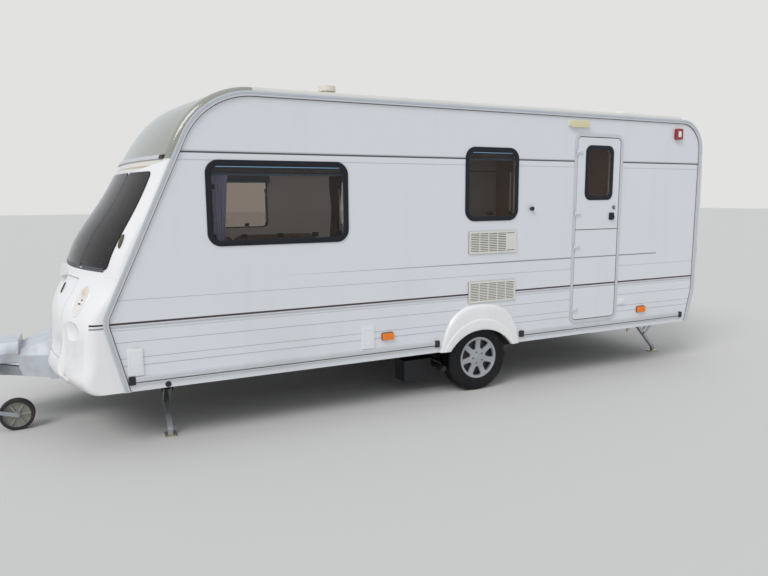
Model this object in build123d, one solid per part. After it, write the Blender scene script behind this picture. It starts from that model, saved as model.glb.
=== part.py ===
from build123d import *
import math
import os

# Travel caravan, single axle, parked on its jockey wheel and four corner steadies.
# Millimetres. +X runs to the rear, +Y to the off side, +Z up, the door is on the -Y side.
# Every x below is measured from the axle, and each piece is shifted to the middle of
# the overall length when it is written.

os.makedirs("parts", exist_ok=True)

# Body shell
HALF_WIDTH = 1100
WALL = 30
SKIRT_Z = 404
ROOF_Z = 2446
FRONT_FOOT_X = -2903
KNEE_X = -3020
KNEE_Z = 901
KNEE_RADIUS = 150
FRONT_LEAN = 24.6
FRONT_TOP_RADIUS = 542
REAR_X = 2658
REAR_FOOT_X = 2580
REAR_FOOT_Z = 740
REAR_TOP_RADIUS = 280
ROOF_CROWN = 70
ROOF_CORNER = 45
ROOF_SIDE = 5
TAIL_BULGE = 60
LAMP_PROUD = 16
JOINT = 3
SEAM = 0.3
PANEL_SPLIT_Z = 1190
BROW_X = -2505
BROW_LEAN = 20
GUTTER_DEPTH = 12
GUTTER_Z = 1986
GUTTER_HEIGHT = 26
GUTTER_HALF = 1030
GUTTER_END = 45

# Floor and rails
FLOOR_Z = 430
FLOOR = 40
COVERING = 3
GANGWAY_HALF = 440
RAIL_WIDTH = 36
RAIL_DEPTH = 14
CHANNEL = 11
CHANNEL_DEPTH = 8
GROOVE_HEIGHTS = (1980, 1040, 752, 640, 585)
GROOVE = 5
GROOVE_DEPTH = 2
SKIRT_RAIL_Z = 455
SKIRT_RAIL_HEIGHT = 53
SKIRT_RAIL_DEPTH = 16
END_CAP = 45

# Wheels and axle
TYRE_R = 298
TYRE_WIDTH = 170
TYRE_Y = 975
RIM_R = 178
SPOKES = 7
TRIM_R = 186
HUB_R = 60
NUT_CIRCLE = 44
NUT_HOLE_R = 8
CAP_R = 27
AXLE_LEAD = 160
AXLE_TUBE_R = 48
AXLE_DROP = 63
ARM_Y = 855
ARM_THICK = 26
STUB_R = 17
PIN_FIT = 0.3
SPIN_GAP = 5

# Wheel arch and spat
ARCH_R = 424
ARCH_X = 8
ARCH_Z = 133
BOX_HALF = 375
BOX_TOP = 680
BOX_Y = 845
BOX_THICK = 6
SPAT_THICK = 28
SPAT_SLOPE = 40
SPAT_ROUND = 18
SPAT_LIP = 6
SPAT_LIP_WIDTH = 58

# Door in two leaves
DOOR_X0 = 1006
DOOR_X1 = 1577
DOOR_Z0 = 530
DOOR_Z1 = 2276
DOOR_SPLIT_Z = 1405
DOOR_FRAME = 18
DOOR_GAP = 7
DOOR_PROUD = 3
FRAME_PROUD = 6
DOOR_CORNER = 62
HINGE_R = 6
HINGE_PIN_R = 3
HINGE_LENGTH = 60
HINGE_OUT = 14

# Gas locker lid
LID_HALF = 620
LID_TOP_Z = 1150
LID_RADIUS = 560
LID_GAP = 6
LID_HINGE_OUT = 8
LID_HINGE_Y = 250
LID_EYE_R = 8
LID_PIN_R = 4
BULKHEAD_X = -2850
BULKHEAD = 20
NOTCH_HALF = 370
SHELF_Z = 1250
SHELF = 20
SHELF_SECTION = (362, 65, 10)

# Drawbar
MEMBER_Y = 735
MEMBER_DEPTH = 130
MEMBER_WIDTH = 45
MEMBER_FRONT_X = -1900
MEMBER_REAR_X = 2080
DRAW_TIP_X = -4160
DRAW_TIP_Y = 45
DRAW_DEPTH = 76
DRAW_TOP = 490
DRAW_KINK_X = -3350
DRAW_BEND_X = -3700
TIP_DEPTH = 60
HITCH_X = -4550
BALL_R = 25
BALL_Z = 455
BELLOWS = 7
BELLOWS_STEP = 22
BALL_X = HITCH_X + 45
CUP_LOW = BALL_Z - 22
CUP_TOP = BALL_Z + 25

# Jockey wheel
STEM_X = -3780
STEM_Y = -305
STEM_R = 24
TUBE_WALL = 3
STEM_FIT = 0.5
JOCKEY_R = 120
JOCKEY_WIDTH = 56
JOCKEY_TYRE = 28
JOCKEY_SPOKES = 6
JOCKEY_TRAIL = 140
JOCKEY_BORE = 8
JOCKEY_TRAVEL = 150
FORK_TOP = 175

# Corner steadies
STAY = 173
LEG = 405
STEADY_ANGLE = 46.8
STOW_ANGLE = 8
STEADY_Z = 340
STEADY_SCREW = 50
FOOT_DROP = 45
LEG_HALF = 18
STAY_THICK = 4
CHEEK_IN = 32
CHEEK = 4
PIN_R = 6

# Roof fittings
ROOFLIGHT = 400
ROOFLIGHT_HOLE = 350
LID_RISE = 75
RIM_RISE = 22
DOME_HINGE_OUT = 10
DOME_HINGE_R = 6
DOME_PIN_R = 3
FLUE_X = -1255
FLUE_Y = -700
FLUE_R = 70

TAIL_X = REAR_X + TAIL_BULGE
AXLE_X = -(HITCH_X + TAIL_X + LAMP_PROUD) / 2
LEAN = math.tan(math.radians(FRONT_LEAN))
TOP_X = KNEE_X + LEAN * (ROOF_Z - KNEE_Z)
FAN_X = TOP_X + FRONT_TOP_RADIUS * math.tan(math.radians(90 - FRONT_LEAN) / 2)
FAN_Z = ROOF_Z - FRONT_TOP_RADIUS
REAR_FAN_X = REAR_X - REAR_TOP_RADIUS
REAR_FAN_Z = ROOF_Z - REAR_TOP_RADIUS
IN_Y = HALF_WIDTH - WALL


far = 4000


def block(x0, x1, y0, y1, z0, z1):
    return Pos((x0 + x1) / 2, (y0 + y1) / 2, (z0 + z1) / 2) * Box(x1 - x0, y1 - y0, z1 - z0)


def plate(outline, y0, y1):
    """Outline drawn in x and z, made a plate between two y values."""
    return Pos(0, y1, 0) * extrude(Plane.XZ * outline, y1 - y0)


def upright(outline, x0, x1):
    """Outline drawn in y and z, made a plate between two x values."""
    return Pos(x0, 0, 0) * extrude(Plane.YZ * outline, x1 - x0)


def slab(outline, z0, z1):
    return Pos(0, 0, z0) * extrude(outline, z1 - z0)


def rounded(a0, a1, b0, b1, r):
    return Pos((a0 + a1) / 2, (b0 + b1) / 2) * RectangleRounded(a1 - a0, b1 - b0, r)


def rod_y(x, z, r, y0, y1):
    return Pos(x, (y0 + y1) / 2, z) * Rot(90, 0, 0) * Cylinder(r, y1 - y0)


def rod_x(y, z, r, x0, x1):
    return Pos((x0 + x1) / 2, y, z) * Rot(0, 90, 0) * Cylinder(r, x1 - x0)


def rod_z(x, y, r, z0, z1):
    return Pos(x, y, (z0 + z1) / 2) * Cylinder(r, z1 - z0)


def mirrored(shape):
    return mirror(shape, Plane.XZ)


def write(name, *solids):
    """Shift a node to the middle of the overall length and write it."""
    group = [s for shape in solids for s in shape.solids()]
    body = Compound(children=[Pos(AXLE_X, 0, 0) * s for s in group])
    export_step(body if len(group) > 1 else body.solids()[0], "parts/" + name + ".step")


# Side outline of the body, the line that the awning rail follows

def edge_face(grow=0, foot=SKIRT_Z):
    """Side view of the body out to the rail line, grown or shrunk by an offset."""
    drop = 200
    slope = (FRONT_FOOT_X - KNEE_X) / (KNEE_Z - SKIRT_Z)
    rear_slope = (REAR_X - REAR_FOOT_X) / (REAR_FOOT_Z - SKIRT_Z)
    corners = [
        (FRONT_FOOT_X + slope * drop, SKIRT_Z - drop),
        (KNEE_X, KNEE_Z),
        (TOP_X, ROOF_Z),
        (REAR_X, ROOF_Z),
        (REAR_X, REAR_FOOT_Z),
        (REAR_FOOT_X - rear_slope * drop, SKIRT_Z - drop),
    ]
    radii = [1, KNEE_RADIUS, FRONT_TOP_RADIUS, REAR_TOP_RADIUS, 120, 1]
    face = make_face(FilletPolyline(*corners, radius=radii, close=True))
    if grow:
        face = offset(face, amount=grow)
    keep = Pos(0, (foot + ROOF_Z + 200) / 2) * Rectangle(12000, ROOF_Z + 200 - foot)
    return face & keep


def front_edge_x(z):
    """Rail line of the front at a height below the top curve."""
    if z < KNEE_Z:
        return FRONT_FOOT_X + (KNEE_X - FRONT_FOOT_X) * (z - SKIRT_Z) / (KNEE_Z - SKIRT_Z)
    return KNEE_X + LEAN * (z - KNEE_Z)


def rear_edge_x(z):
    if z < REAR_FOOT_Z:
        return REAR_FOOT_X + (REAR_X - REAR_FOOT_X) * (z - SKIRT_Z) / (REAR_FOOT_Z - SKIRT_Z)
    return REAR_X


# Cap sections: a short straight side, a corner arc and one crown arc across the width

def cap_parts(bulge, corner, side, t):
    """Three arcs and two sides of a section shrunk by t, from +y to -y."""
    w = HALF_WIDTH
    rise = bulge - side
    crown = ((w - corner) ** 2 + rise ** 2 - corner ** 2) / (2 * (rise - corner))
    ux = (w - corner) / (crown - corner)
    uv = (crown - rise) / (crown - corner)
    r = corner - t
    touch = (w - corner + r * ux, side + r * uv)
    half = math.atan2(uv, ux) / 2
    mid = (w - corner + r * math.cos(half), side + r * math.sin(half))
    return [
        (w - t, 0),
        (w - t, side),
        mid,
        touch,
        (0, bulge - t),
    ]


def cap_edges(bulge, corner, side, t):
    a, b, m, c, top = cap_parts(bulge, corner, side, t)
    flip = [(-p[0], p[1]) for p in (a, b, m, c)]
    return [
        Line(a, b),
        ThreePointArc(b, m, c),
        ThreePointArc(c, top, flip[3]),
        ThreePointArc(flip[3], flip[2], flip[1]),
        Line(flip[1], flip[0]),
    ]


def cap_face(bulge, corner, side, t0, t1=None):
    """Closed cap section, or the band between two offsets of it."""
    outer = cap_edges(bulge, corner, side, t0)
    if t1 is None:
        return make_face(outer + [Line(outer[-1] @ 1, outer[0] @ 0)])
    inner = cap_edges(bulge, corner, side, t1)
    return make_face(outer + inner + [
        Line(outer[0] @ 0, inner[0] @ 0),
        Line(outer[-1] @ 1, inner[-1] @ 1),
    ])


# Columns: turn from level in degrees, height or None, bulge, corner radius, straight side
FRONT_STATIONS = [
    (0, 404, 455, 95, 140),
    (0, 600, 448, 95, 130),
    (0, 800, 372, 90, 70),
    (0, 901, 348, 80, 40),
    (0, 1002, 350, 75, 25),
    (0, 1250, 362, 65, 10),
    (0, 1600, 328, 60, 5),
    (0, None, 277, 60, 5),
    (30, None, 196, 55, 5),
    (60, None, 92, 50, 5),
    (90, None, ROOF_CROWN, ROOF_CORNER, ROOF_SIDE),
]
REAR_STATIONS = [
    (0, 404, 100, 60, 5),
    (0, 600, 93, 60, 5),
    (0, 760, TAIL_BULGE, 48, 5),
    (0, None, TAIL_BULGE, 48, 5),
    (45, None, 62, 46, 5),
    (90, None, ROOF_CROWN, ROOF_CORNER, ROOF_SIDE),
]


def station_plane(turn, z, front):
    """Plane of one section: v points out of the body, the origin is on the rail line."""
    way = -1 if front else 1
    cx, cz = (FAN_X, FAN_Z) if front else (REAR_FAN_X, REAR_FAN_Z)
    out_x = way * math.cos(math.radians(turn))
    out_z = math.sin(math.radians(turn))
    if z is not None:
        x = front_edge_x(z) if front else rear_edge_x(z)
        if front and z == KNEE_Z:
            x += 9
        origin = (x, 0, z)
    else:
        reach = FRONT_TOP_RADIUS if front else REAR_TOP_RADIUS
        if front and turn < FRONT_LEAN:
            reach = FRONT_TOP_RADIUS / math.cos(math.radians(FRONT_LEAN - turn))
        origin = (cx + reach * out_x, 0, cz + reach * out_z)
    return Plane(origin=origin, x_dir=(0, 1, 0), z_dir=(out_z, 0, -out_x))


def skin(stations, front, t0, t1=None):
    """Loft through the sections of one end, as a solid or as a skin between two offsets."""
    faces = [station_plane(turn, z, front) * cap_face(b, r, s, t0, t1)
             for turn, z, b, r, s in stations]
    return loft(faces)


def roof_band(t0, t1=None):
    face = cap_face(ROOF_CROWN, ROOF_CORNER, ROOF_SIDE, t0, t1)
    plane = Plane(origin=(FAN_X, 0, ROOF_Z), x_dir=(0, 1, 0), z_dir=(1, 0, 0))
    return extrude(plane * face, REAR_FAN_X - FAN_X)


front_skin = skin(FRONT_STATIONS, True, 0, WALL)
front_core = skin(FRONT_STATIONS, True, WALL + SEAM)
rear_skin = skin(REAR_STATIONS, False, 0, WALL)
rear_core = skin(REAR_STATIONS, False, WALL + SEAM)
roof = roof_band(0, WALL)
roof_solid = roof_band(0)

# Windows: name columns are x from, x to, z from, z to, corner, side (-1 door side, 1 off side)
WINDOWS = [
    (-2330, -1241, 1370, 1993, 75, -1),
    (-195, 374, 1501, 2141, 70, -1),
    (-2330, -1241, 1370, 1993, 75, 1),
    (-560, 480, 1370, 1993, 75, 1),
    (1900, 2300, 1640, 2060, 60, 1),
]
FRAME_WIDTH = 50
FRAME_OUT = 8
PANE = 4


def window_outline(row, inset=0):
    x0, x1, z0, z1, r, side = row
    return rounded(x0 + inset, x1 - inset, z0 + inset, z1 - inset, r - inset / 2)


def on_side(side, depth0, depth1):
    """y range from depth0 to depth1 outside the wall face on one side."""
    a, b = side * (HALF_WIDTH + depth0), side * (HALF_WIDTH + depth1)
    return min(a, b), max(a, b)


# Hollows moulded into the nose, as ellipsoids that dip into its skin
# Columns: y, z, half width and half height of the ellipsoid, depth
HOLLOWS = [
    (715, 680, 130, 280, 15),
    (850, 815, 260, 120, 18),
    (850, 1030, 85, 125, 15),
    (800, 480, 100, 70, 12),
]
HOLLOW_REACH = 90


def surface_x(end_skin, y, z):
    """Outermost x of the front or rear skin at one spot."""
    box = (end_skin & block(-far, far, y - 1, y + 1, z - 1, z + 1)).bounding_box()
    return box.min.X if box.max.X < 0 else box.max.X


def hollow_tool(row, side):
    """Ellipsoid square to the nose whose inner end lies a depth under its surface."""
    y, z, half_width, half_height, depth = row
    y *= side
    x = surface_x(front_skin, y, z)
    along = (surface_x(front_skin, y + 20, z) - x) / 20
    up = (surface_x(front_skin, y, z + 20) - x) / 20
    plane = Plane(origin=(x, y, z), x_dir=(along, 1, 0), z_dir=(-1, along, up))
    shape = scale(Sphere(1), by=(half_width, half_height, HOLLOW_REACH))
    return plane * Pos(0, 0, HOLLOW_REACH - depth) * shape


hollows = [hollow_tool(row, side) for row in HOLLOWS for side in (-1, 1)]

# The space inside the skins, for what fits to them
middle = plate(edge_face(5), -IN_Y + SEAM, IN_Y - SEAM)


def largest(shape):
    return shape.solids().sort_by(SortBy.VOLUME)[-1]


# Side walls
arch = Pos(ARCH_X, ARCH_Z) * Circle(ARCH_R)
wall_face = edge_face(-JOINT)
door_hole = rounded(DOOR_X0, DOOR_X1, DOOR_Z0, DOOR_Z1, DOOR_CORNER)
walls = {}
for side in (-1, 1):
    wall = plate(wall_face - arch, *on_side(side, -WALL, 0))
    for row in WINDOWS:
        if row[5] == side:
            wall -= plate(window_outline(row, FRAME_WIDTH - 10), *on_side(side, -WALL - 1, 1))
    wall = largest(wall - front_skin - rear_skin - roof)
    for z in GROOVE_HEIGHTS:
        wall -= block(-4000, 4000, *on_side(side, -GROOVE_DEPTH, 1), z - GROOVE / 2, z + GROOVE / 2)
    walls[side] = wall
walls[-1] -= plate(door_hole, -HALF_WIDTH - 1, -IN_Y + 1)
write("side_wall_near", walls[-1])
write("side_wall_off", walls[1])

# Awning rails round both side edges
rail_face = edge_face(RAIL_WIDTH / 2) - edge_face(-RAIL_WIDTH / 2, SKIRT_Z - 1)
channel_face = edge_face(CHANNEL / 2, SKIRT_Z - 1) - edge_face(-CHANNEL / 2, SKIRT_Z - 2)
rails = [plate(rail_face, *on_side(side, 0, RAIL_DEPTH))
         - plate(channel_face, *on_side(side, RAIL_DEPTH - CHANNEL_DEPTH, RAIL_DEPTH + 1))
         for side in (-1, 1)]

# Front, roof and rear panels
lower_cut = block(-far, 0, -far, far, 0, PANEL_SPLIT_Z)
brow_plane = Plane(origin=(BROW_X, 0, 2000), x_dir=(0, 1, 0), z_dir=(
    -math.sin(math.radians(BROW_LEAN)), 0, math.cos(math.radians(BROW_LEAN))))
brow_cut = extrude(brow_plane * Rectangle(far, far), 1500)
hinge_x = front_edge_x(LID_TOP_Z) - 361 - LID_HINGE_OUT
LID_AXIS = (hinge_x, LID_TOP_Z)
lid_round = rod_y(LID_AXIS[0], LID_AXIS[1], LID_RADIUS, -LID_HALF, LID_HALF)
lid_region = lid_round & block(-far, 0, -LID_HALF, LID_HALF, 0, LID_TOP_Z)
hole_round = rod_y(LID_AXIS[0], LID_AXIS[1], LID_RADIUS + LID_GAP,
                   -LID_HALF - LID_GAP, LID_HALF + LID_GAP)
hole_region = hole_round & block(-far, 0, -far, far, 0, LID_TOP_Z + LID_GAP)
notch = block(-far, 0, -NOTCH_HALF, NOTCH_HALF, 0, FLOOR_Z + 4)
lower = (front_skin & lower_cut) - notch
for tool in hollows:
    lower -= tool
lid = lower & lid_region
lower_panel = lower - hole_region
lx, lz = LID_AXIS
for y in (-LID_HINGE_Y, LID_HINGE_Y):
    for y0, y1 in ((y - 45, y - 16), (y + 16, y + 45)):
        lug = block(lx - 3, lx + 70, y0, y1, lz, lz + 38) - front_core
        lower_panel += lug + rod_y(lx, lz, LID_EYE_R, y0, y1)
    lower_panel += rod_y(lx, lz, LID_PIN_R, y - 45, y + 45)
    strap = block(lx - 3, lx + 70, y - 15, y + 15, lz - 45, lz) - front_core
    eye = strap + rod_y(lx, lz, LID_EYE_R, y - 15, y + 15)
    lid += eye - rod_y(lx, lz, LID_PIN_R + PIN_FIT, y - 20, y + 20)
write("gas_locker_lid", lid)
write("front_lower_panel", lower_panel)

upper = front_skin - block(-far, 0, -far, far, 0, PANEL_SPLIT_Z + SEAM)
glass_low, glass_high = 1235, 1905
front_hole = upright(rounded(-930, 930, glass_low + 40, glass_high - 40, 60), -far, -2000)
write("front_window_panel", (upper - brow_cut) - front_hole)
write("front_brow_panel", upper & Pos(0, 0, SEAM) * brow_cut)
pane_skin = skin(FRONT_STATIONS, True, -6, -SEAM)
for name, y0, y1 in (("centre", -606, 606), ("near", -985, -612), ("off", 612, 985)):
    strip = upright(rounded(y0, y1, glass_low, glass_high, 40), -far, -2000)
    piece = pane_skin & strip
    if name == "centre":
        panes = [piece]
    else:
        panes.append(piece)
write("rear_panel", rear_skin)

# Floor, with the gas locker floor and the tail inside the end skins
floor_slab = block(-far, far, -IN_Y + SEAM, IN_Y - SEAM, FLOOR_Z, FLOOR_Z + FLOOR)
floor = (floor_slab & middle) + (floor_slab & front_core) + (floor_slab & rear_core)
for side in (-1, 1):
    y0, y1 = sorted((side * (BOX_Y - BOX_THICK), side * IN_Y))
    floor -= block(-BOX_HALF - BOX_THICK, BOX_HALF + BOX_THICK, y0, y1, 0, FLOOR_Z + FLOOR + 1)
floor += block(-2590, 1680, -GANGWAY_HALF, GANGWAY_HALF, FLOOR_Z + FLOOR, FLOOR_Z + FLOOR + COVERING)
write("floor_panel", floor)

boxes = []
for side in (-1, 1):
    outer = block(-BOX_HALF - BOX_THICK + SEAM, BOX_HALF + BOX_THICK - SEAM,
                  BOX_Y - BOX_THICK + SEAM, IN_Y - SEAM, FLOOR_Z, BOX_TOP + BOX_THICK)
    inner = block(-BOX_HALF, BOX_HALF, BOX_Y, IN_Y, 0, BOX_TOP)
    shell = outer - inner
    boxes.append(shell if side > 0 else mirrored(shell))
write("wheel_boxes", *boxes)

# Gas locker bulkhead and shelf
bulkhead = block(BULKHEAD_X, BULKHEAD_X + BULKHEAD, -IN_Y + SEAM, IN_Y - SEAM,
                 FLOOR_Z + FLOOR, SHELF_Z)
shelf = extrude(station_plane(0, SHELF_Z, True) * cap_face(*SHELF_SECTION, WALL + SEAM), -SHELF)
shelf += block(front_edge_x(SHELF_Z) - 1, BULKHEAD_X + 1, -IN_Y + SEAM, IN_Y - SEAM,
               SHELF_Z - SHELF, SHELF_Z)
write("front_bulkhead", bulkhead + shelf)

# Side window frames and panes
frames = []
glass = []
for row in WINDOWS:
    side = row[5]
    ring = window_outline(row) - window_outline(row, FRAME_WIDTH)
    frames.append(plate(ring, *on_side(side, 0, FRAME_OUT)))
    glass.append(plate(window_outline(row, FRAME_WIDTH + SEAM), *on_side(side, 1, 1 + PANE)))
write("window_frames", *frames)
write("window_panes", *glass, *panes)

# Stable door: frame, two leaves, window and handle
frame_in = rounded(DOOR_X0 + DOOR_FRAME, DOOR_X1 - DOOR_FRAME,
                   DOOR_Z0 + DOOR_FRAME, DOOR_Z1 - DOOR_FRAME, DOOR_CORNER - DOOR_FRAME)
jamb = plate(rounded(DOOR_X0 + SEAM, DOOR_X1 - SEAM, DOOR_Z0 + SEAM, DOOR_Z1 - SEAM,
                     DOOR_CORNER) - frame_in, *on_side(-1, -WALL, 0))
flange = plate(rounded(DOOR_X0 - 12, DOOR_X1 + 12, DOOR_Z0 - 12, DOOR_Z1 + 12,
                       DOOR_CORNER + 12) - frame_in, *on_side(-1, 0, FRAME_PROUD))
reach = DOOR_FRAME + DOOR_GAP
leaf_face = rounded(DOOR_X0 + reach, DOOR_X1 - reach, DOOR_Z0 + reach, DOOR_Z1 - reach,
                    DOOR_CORNER - reach)
leaf = plate(leaf_face, *on_side(-1, DOOR_PROUD - WALL, DOOR_PROUD))
HINGE_X = DOOR_X0 + DOOR_FRAME / 2
HINGE_Y = -HALF_WIDTH - HINGE_OUT
half_gap = DOOR_GAP / 2
upper_leaf = leaf & block(0, far, -far, far, DOOR_SPLIT_Z + half_gap, far)
lower_leaf = leaf & block(0, far, -far, far, 0, DOOR_SPLIT_Z - half_gap)
DOOR_WINDOW = (1130, 1467, 1683, 2178, 62, -1)
upper_leaf -= plate(window_outline(DOOR_WINDOW, 28), -HALF_WIDTH - 50, -IN_Y + 50)

hinge_heights = {"upper": (1560, 2120), "lower": (660, 1250)}
jamb_group = jamb + flange
leaves = {"upper": upper_leaf, "lower": lower_leaf}
for name, heights in hinge_heights.items():
    for z in heights:
        third = HINGE_LENGTH / 3
        pin = rod_z(HINGE_X, HINGE_Y, HINGE_PIN_R, z - HINGE_LENGTH / 2, z + HINGE_LENGTH / 2)
        jamb_group += pin
        for end in (-1, 1):
            zc = z + end * third
            lug = rod_z(HINGE_X, HINGE_Y, HINGE_R, zc - third / 2, zc + third / 2)
            foot = block(HINGE_X - HINGE_R, HINGE_X + HINGE_R / 3, HINGE_Y,
                         -HALF_WIDTH - FRAME_PROUD, zc - third / 2, zc + third / 2)
            jamb_group += lug + foot
        half = third / 2 - SEAM
        eye = rod_z(HINGE_X, HINGE_Y, HINGE_R, z - half, z + half)
        strap = block(HINGE_X, DOOR_X0 + reach + 45, HINGE_Y - HINGE_R, HINGE_Y + 2 - HINGE_R,
                      z - half, z + half)
        pad = block(DOOR_X0 + reach + 4, DOOR_X0 + reach + 45, HINGE_Y - HINGE_R,
                    -HALF_WIDTH - DOOR_PROUD, z - half, z + half)
        hole = rod_z(HINGE_X, HINGE_Y, HINGE_PIN_R + PIN_FIT, z - HINGE_LENGTH, z + HINGE_LENGTH)
        leaves[name] += (eye + strap + pad) - hole
write("door_frame", jamb_group)
write("door_upper", leaves["upper"])
write("door_lower", leaves["lower"])
ring = window_outline(DOOR_WINDOW) - window_outline(DOOR_WINDOW, 36)
write("door_window_frame", plate(ring, *on_side(-1, DOOR_PROUD, DOOR_PROUD + 6)))
write("door_window_pane", plate(window_outline(DOOR_WINDOW, 36 + SEAM),
                                *on_side(-1, DOOR_PROUD + 1, DOOR_PROUD + 4)))
handle_plate = plate(rounded(1440, 1502, 1490, 1560, 14),
                     *on_side(-1, DOOR_PROUD, DOOR_PROUD + 8))
handle_grip = plate(rounded(1448, 1494, 1500, 1536, 10),
                    *on_side(-1, DOOR_PROUD + 8, DOOR_PROUD + 20))
lock = rod_y(1497, 1609, 17, *on_side(-1, DOOR_PROUD, DOOR_PROUD + 8))
write("door_handle", handle_plate + handle_grip, lock)

# Fridge vents: frame with louvre slats, and the flue plate at the end of the upper one
VENT_ROWS = 11
VENT_COLUMNS = 5
VENT_RIM = 14
VENT_BAR = 8
VENT_SLANT = 30
vents = []
for z0, z1 in ((1230, 1423), (804, 989)):
    x0, x1 = -145, 350
    body = plate(rounded(x0, x1, z0, z1, 8), *on_side(-1, 0, 10))
    step = (z1 - z0 - 2 * VENT_RIM) / VENT_ROWS
    pitch = (x1 - x0 - 2 * VENT_RIM) / VENT_COLUMNS
    slots = []
    for i in range(VENT_ROWS):
        for j in range(VENT_COLUMNS):
            if z0 > 1000 and j == VENT_COLUMNS - 1 and 0 < i < VENT_ROWS - 1:
                continue
            xa = x0 + VENT_RIM + j * pitch + VENT_BAR / 2
            slots.append(Pos(xa + (pitch - VENT_BAR) / 2, -HALF_WIDTH - 8, z0 + VENT_RIM + step * (i + 0.5))
                         * Rot(VENT_SLANT, 0, 0) * Box(pitch - VENT_BAR, 14, step * 0.42))
    body -= slots
    vents.append(body)
write("fridge_vents", *vents)

# Wheel spats: a moulding that slopes out from the wall, with a raised lip round the arch
spat_face = make_face(FilletPolyline(
    (-432, SKIRT_Z), (-345, 755), (0, 800), (330, 745), (406, SKIRT_Z),
    radius=[1, 150, 600, 150, 1], close=True))
spat = extrude(Plane.XZ * spat_face, SPAT_THICK, taper=SPAT_SLOPE)
brow_edges = [e for e in spat.edges()
              if abs(e.center().Y + SPAT_THICK) < 0.01 and e.center().Z > SKIRT_Z + 5]
spat = fillet(brow_edges, SPAT_ROUND)
lip_face = spat_face & (Pos(ARCH_X, ARCH_Z) * Circle(ARCH_R + SPAT_LIP_WIDTH))
spat += extrude(Plane.XZ * lip_face, SPAT_THICK + SPAT_LIP)
spat = Pos(0, -HALF_WIDTH, 0) * spat - rod_y(ARCH_X, ARCH_Z, ARCH_R, -2 * HALF_WIDTH, 0)
write("wheel_spats", spat, mirrored(spat))

# Skirt rails with black ends. Columns: x from, x to
SKIRT_SPANS = [(-2893, -425), (397, 2510)]
skirt_y = -HALF_WIDTH
skirt_out = skirt_y - SKIRT_RAIL_DEPTH
skirt_profile = make_face(FilletPolyline(
    (skirt_y, SKIRT_RAIL_Z), (skirt_out + 2, SKIRT_RAIL_Z), (skirt_out + 2, SKIRT_RAIL_Z + 9),
    (skirt_out + 6, SKIRT_RAIL_Z + 12), (skirt_out, SKIRT_RAIL_Z + 18),
    (skirt_out, SKIRT_RAIL_Z + SKIRT_RAIL_HEIGHT - 4), (skirt_y, SKIRT_RAIL_Z + SKIRT_RAIL_HEIGHT),
    radius=[0.5, 2, 1, 1, 5, 9, 1], close=True))
bars = []
caps = []
for side in (-1, 1):
    for x0, x1 in SKIRT_SPANS:
        x0 = x0 if x0 < 0 else x0 + 12
        x1 = x1 if x1 > 0 else x1 - 10
        bar = upright(skirt_profile, x0 + END_CAP, x1 - END_CAP)
        bars.append(bar if side < 0 else mirrored(bar))
        for a, b in ((x0, x0 + END_CAP - SEAM), (x1 - END_CAP + SEAM, x1)):
            end = rounded(a, b, SKIRT_RAIL_Z - 2, SKIRT_RAIL_Z + SKIRT_RAIL_HEIGHT + 2, 8)
            caps.append(plate(end, *on_side(side, 0, SKIRT_RAIL_DEPTH + 3)))
gutter_band = skin(FRONT_STATIONS, True, -GUTTER_DEPTH, -SEAM)
gutter_band &= block(-far, 0, -far, far, GUTTER_Z, GUTTER_Z + GUTTER_HEIGHT)
gutter = gutter_band & block(-far, 0, -GUTTER_HALF, GUTTER_HALF, 0, far)
write("side_rails", *rails, *bars, gutter)
write("skirt_rail_ends", *caps)

# Lamps, flaps and small fittings on the side walls
# Columns: x from, x to, z from, z to, corner, depth
AMBER = [(-971, -872, 567, 624, 10, 22), (1869, 1973, 557, 614, 10, 22)]
FLAPS = [(-2893, -2793, 515, 706, 6, 9), (-1154, -1043, 510, 694, 6, 9)]
SOCKET = (1604, 1692, 656, 711, 6, 12)
MARKER = (2272, 2361, 2267, 2373, 12, 30)
AWNING_LAMP = (913, 1138, 2335, 2396, 20, 30)


def wall_patch(row, side):
    x0, x1, z0, z1, r, depth = row
    return plate(rounded(x0, x1, z0, z1, r), *on_side(side, 0, depth))


write("amber_lamps", *[wall_patch(row, side) for row in AMBER for side in (-1, 1)])
write("service_flaps", wall_patch((-2870,) + FLAPS[0][1:], -1), wall_patch(FLAPS[1], -1),
      wall_patch(SOCKET, -1), wall_patch((700, 1060, 560, 900, 12, 9), 1))
WINDER_Z = 427
knob = rod_y(509, 1609, 12, *on_side(-1, 0, 24)) + rod_y(509, 1609, 19, *on_side(-1, 18, 28))
black = [knob]
for side in (-1, 1):
    black.append(rod_y(-2637, WINDER_Z, 20, *on_side(side, 0, 6)))
    end_y = sorted((side * (GUTTER_HALF + SEAM), side * (GUTTER_HALF + GUTTER_END)))
    black.append(gutter_band & block(-far, 0, *end_y, 0, far))
    tail = surface_x(rear_skin, side * 720, WINDER_Z)
    black.append(largest(rod_x(side * 720, WINDER_Z, 20, tail - 12, tail + 6) - rear_skin))
plate_holder = block(TAIL_X - 12, TAIL_X + 8, -270, 270, 862, 986) - rear_skin
black.append(plate_holder.solids().sort_by(Axis.X)[-1])
write("black_fittings", *black)
markers = [wall_patch(MARKER, side) for side in (-1, 1)]
write("awning_lamp", wall_patch(AWNING_LAMP, -1))
rear_lamps = [block(REAR_X + 20, TAIL_X + LAMP_PROUD, y - 60, y + 60, 760, 1160) for y in (-960, 960)]
rear_lamps = [(lamp - rear_skin).solids().sort_by(Axis.X)[-1] for lamp in rear_lamps]
write("red_lamps", *markers, *rear_lamps)

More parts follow.
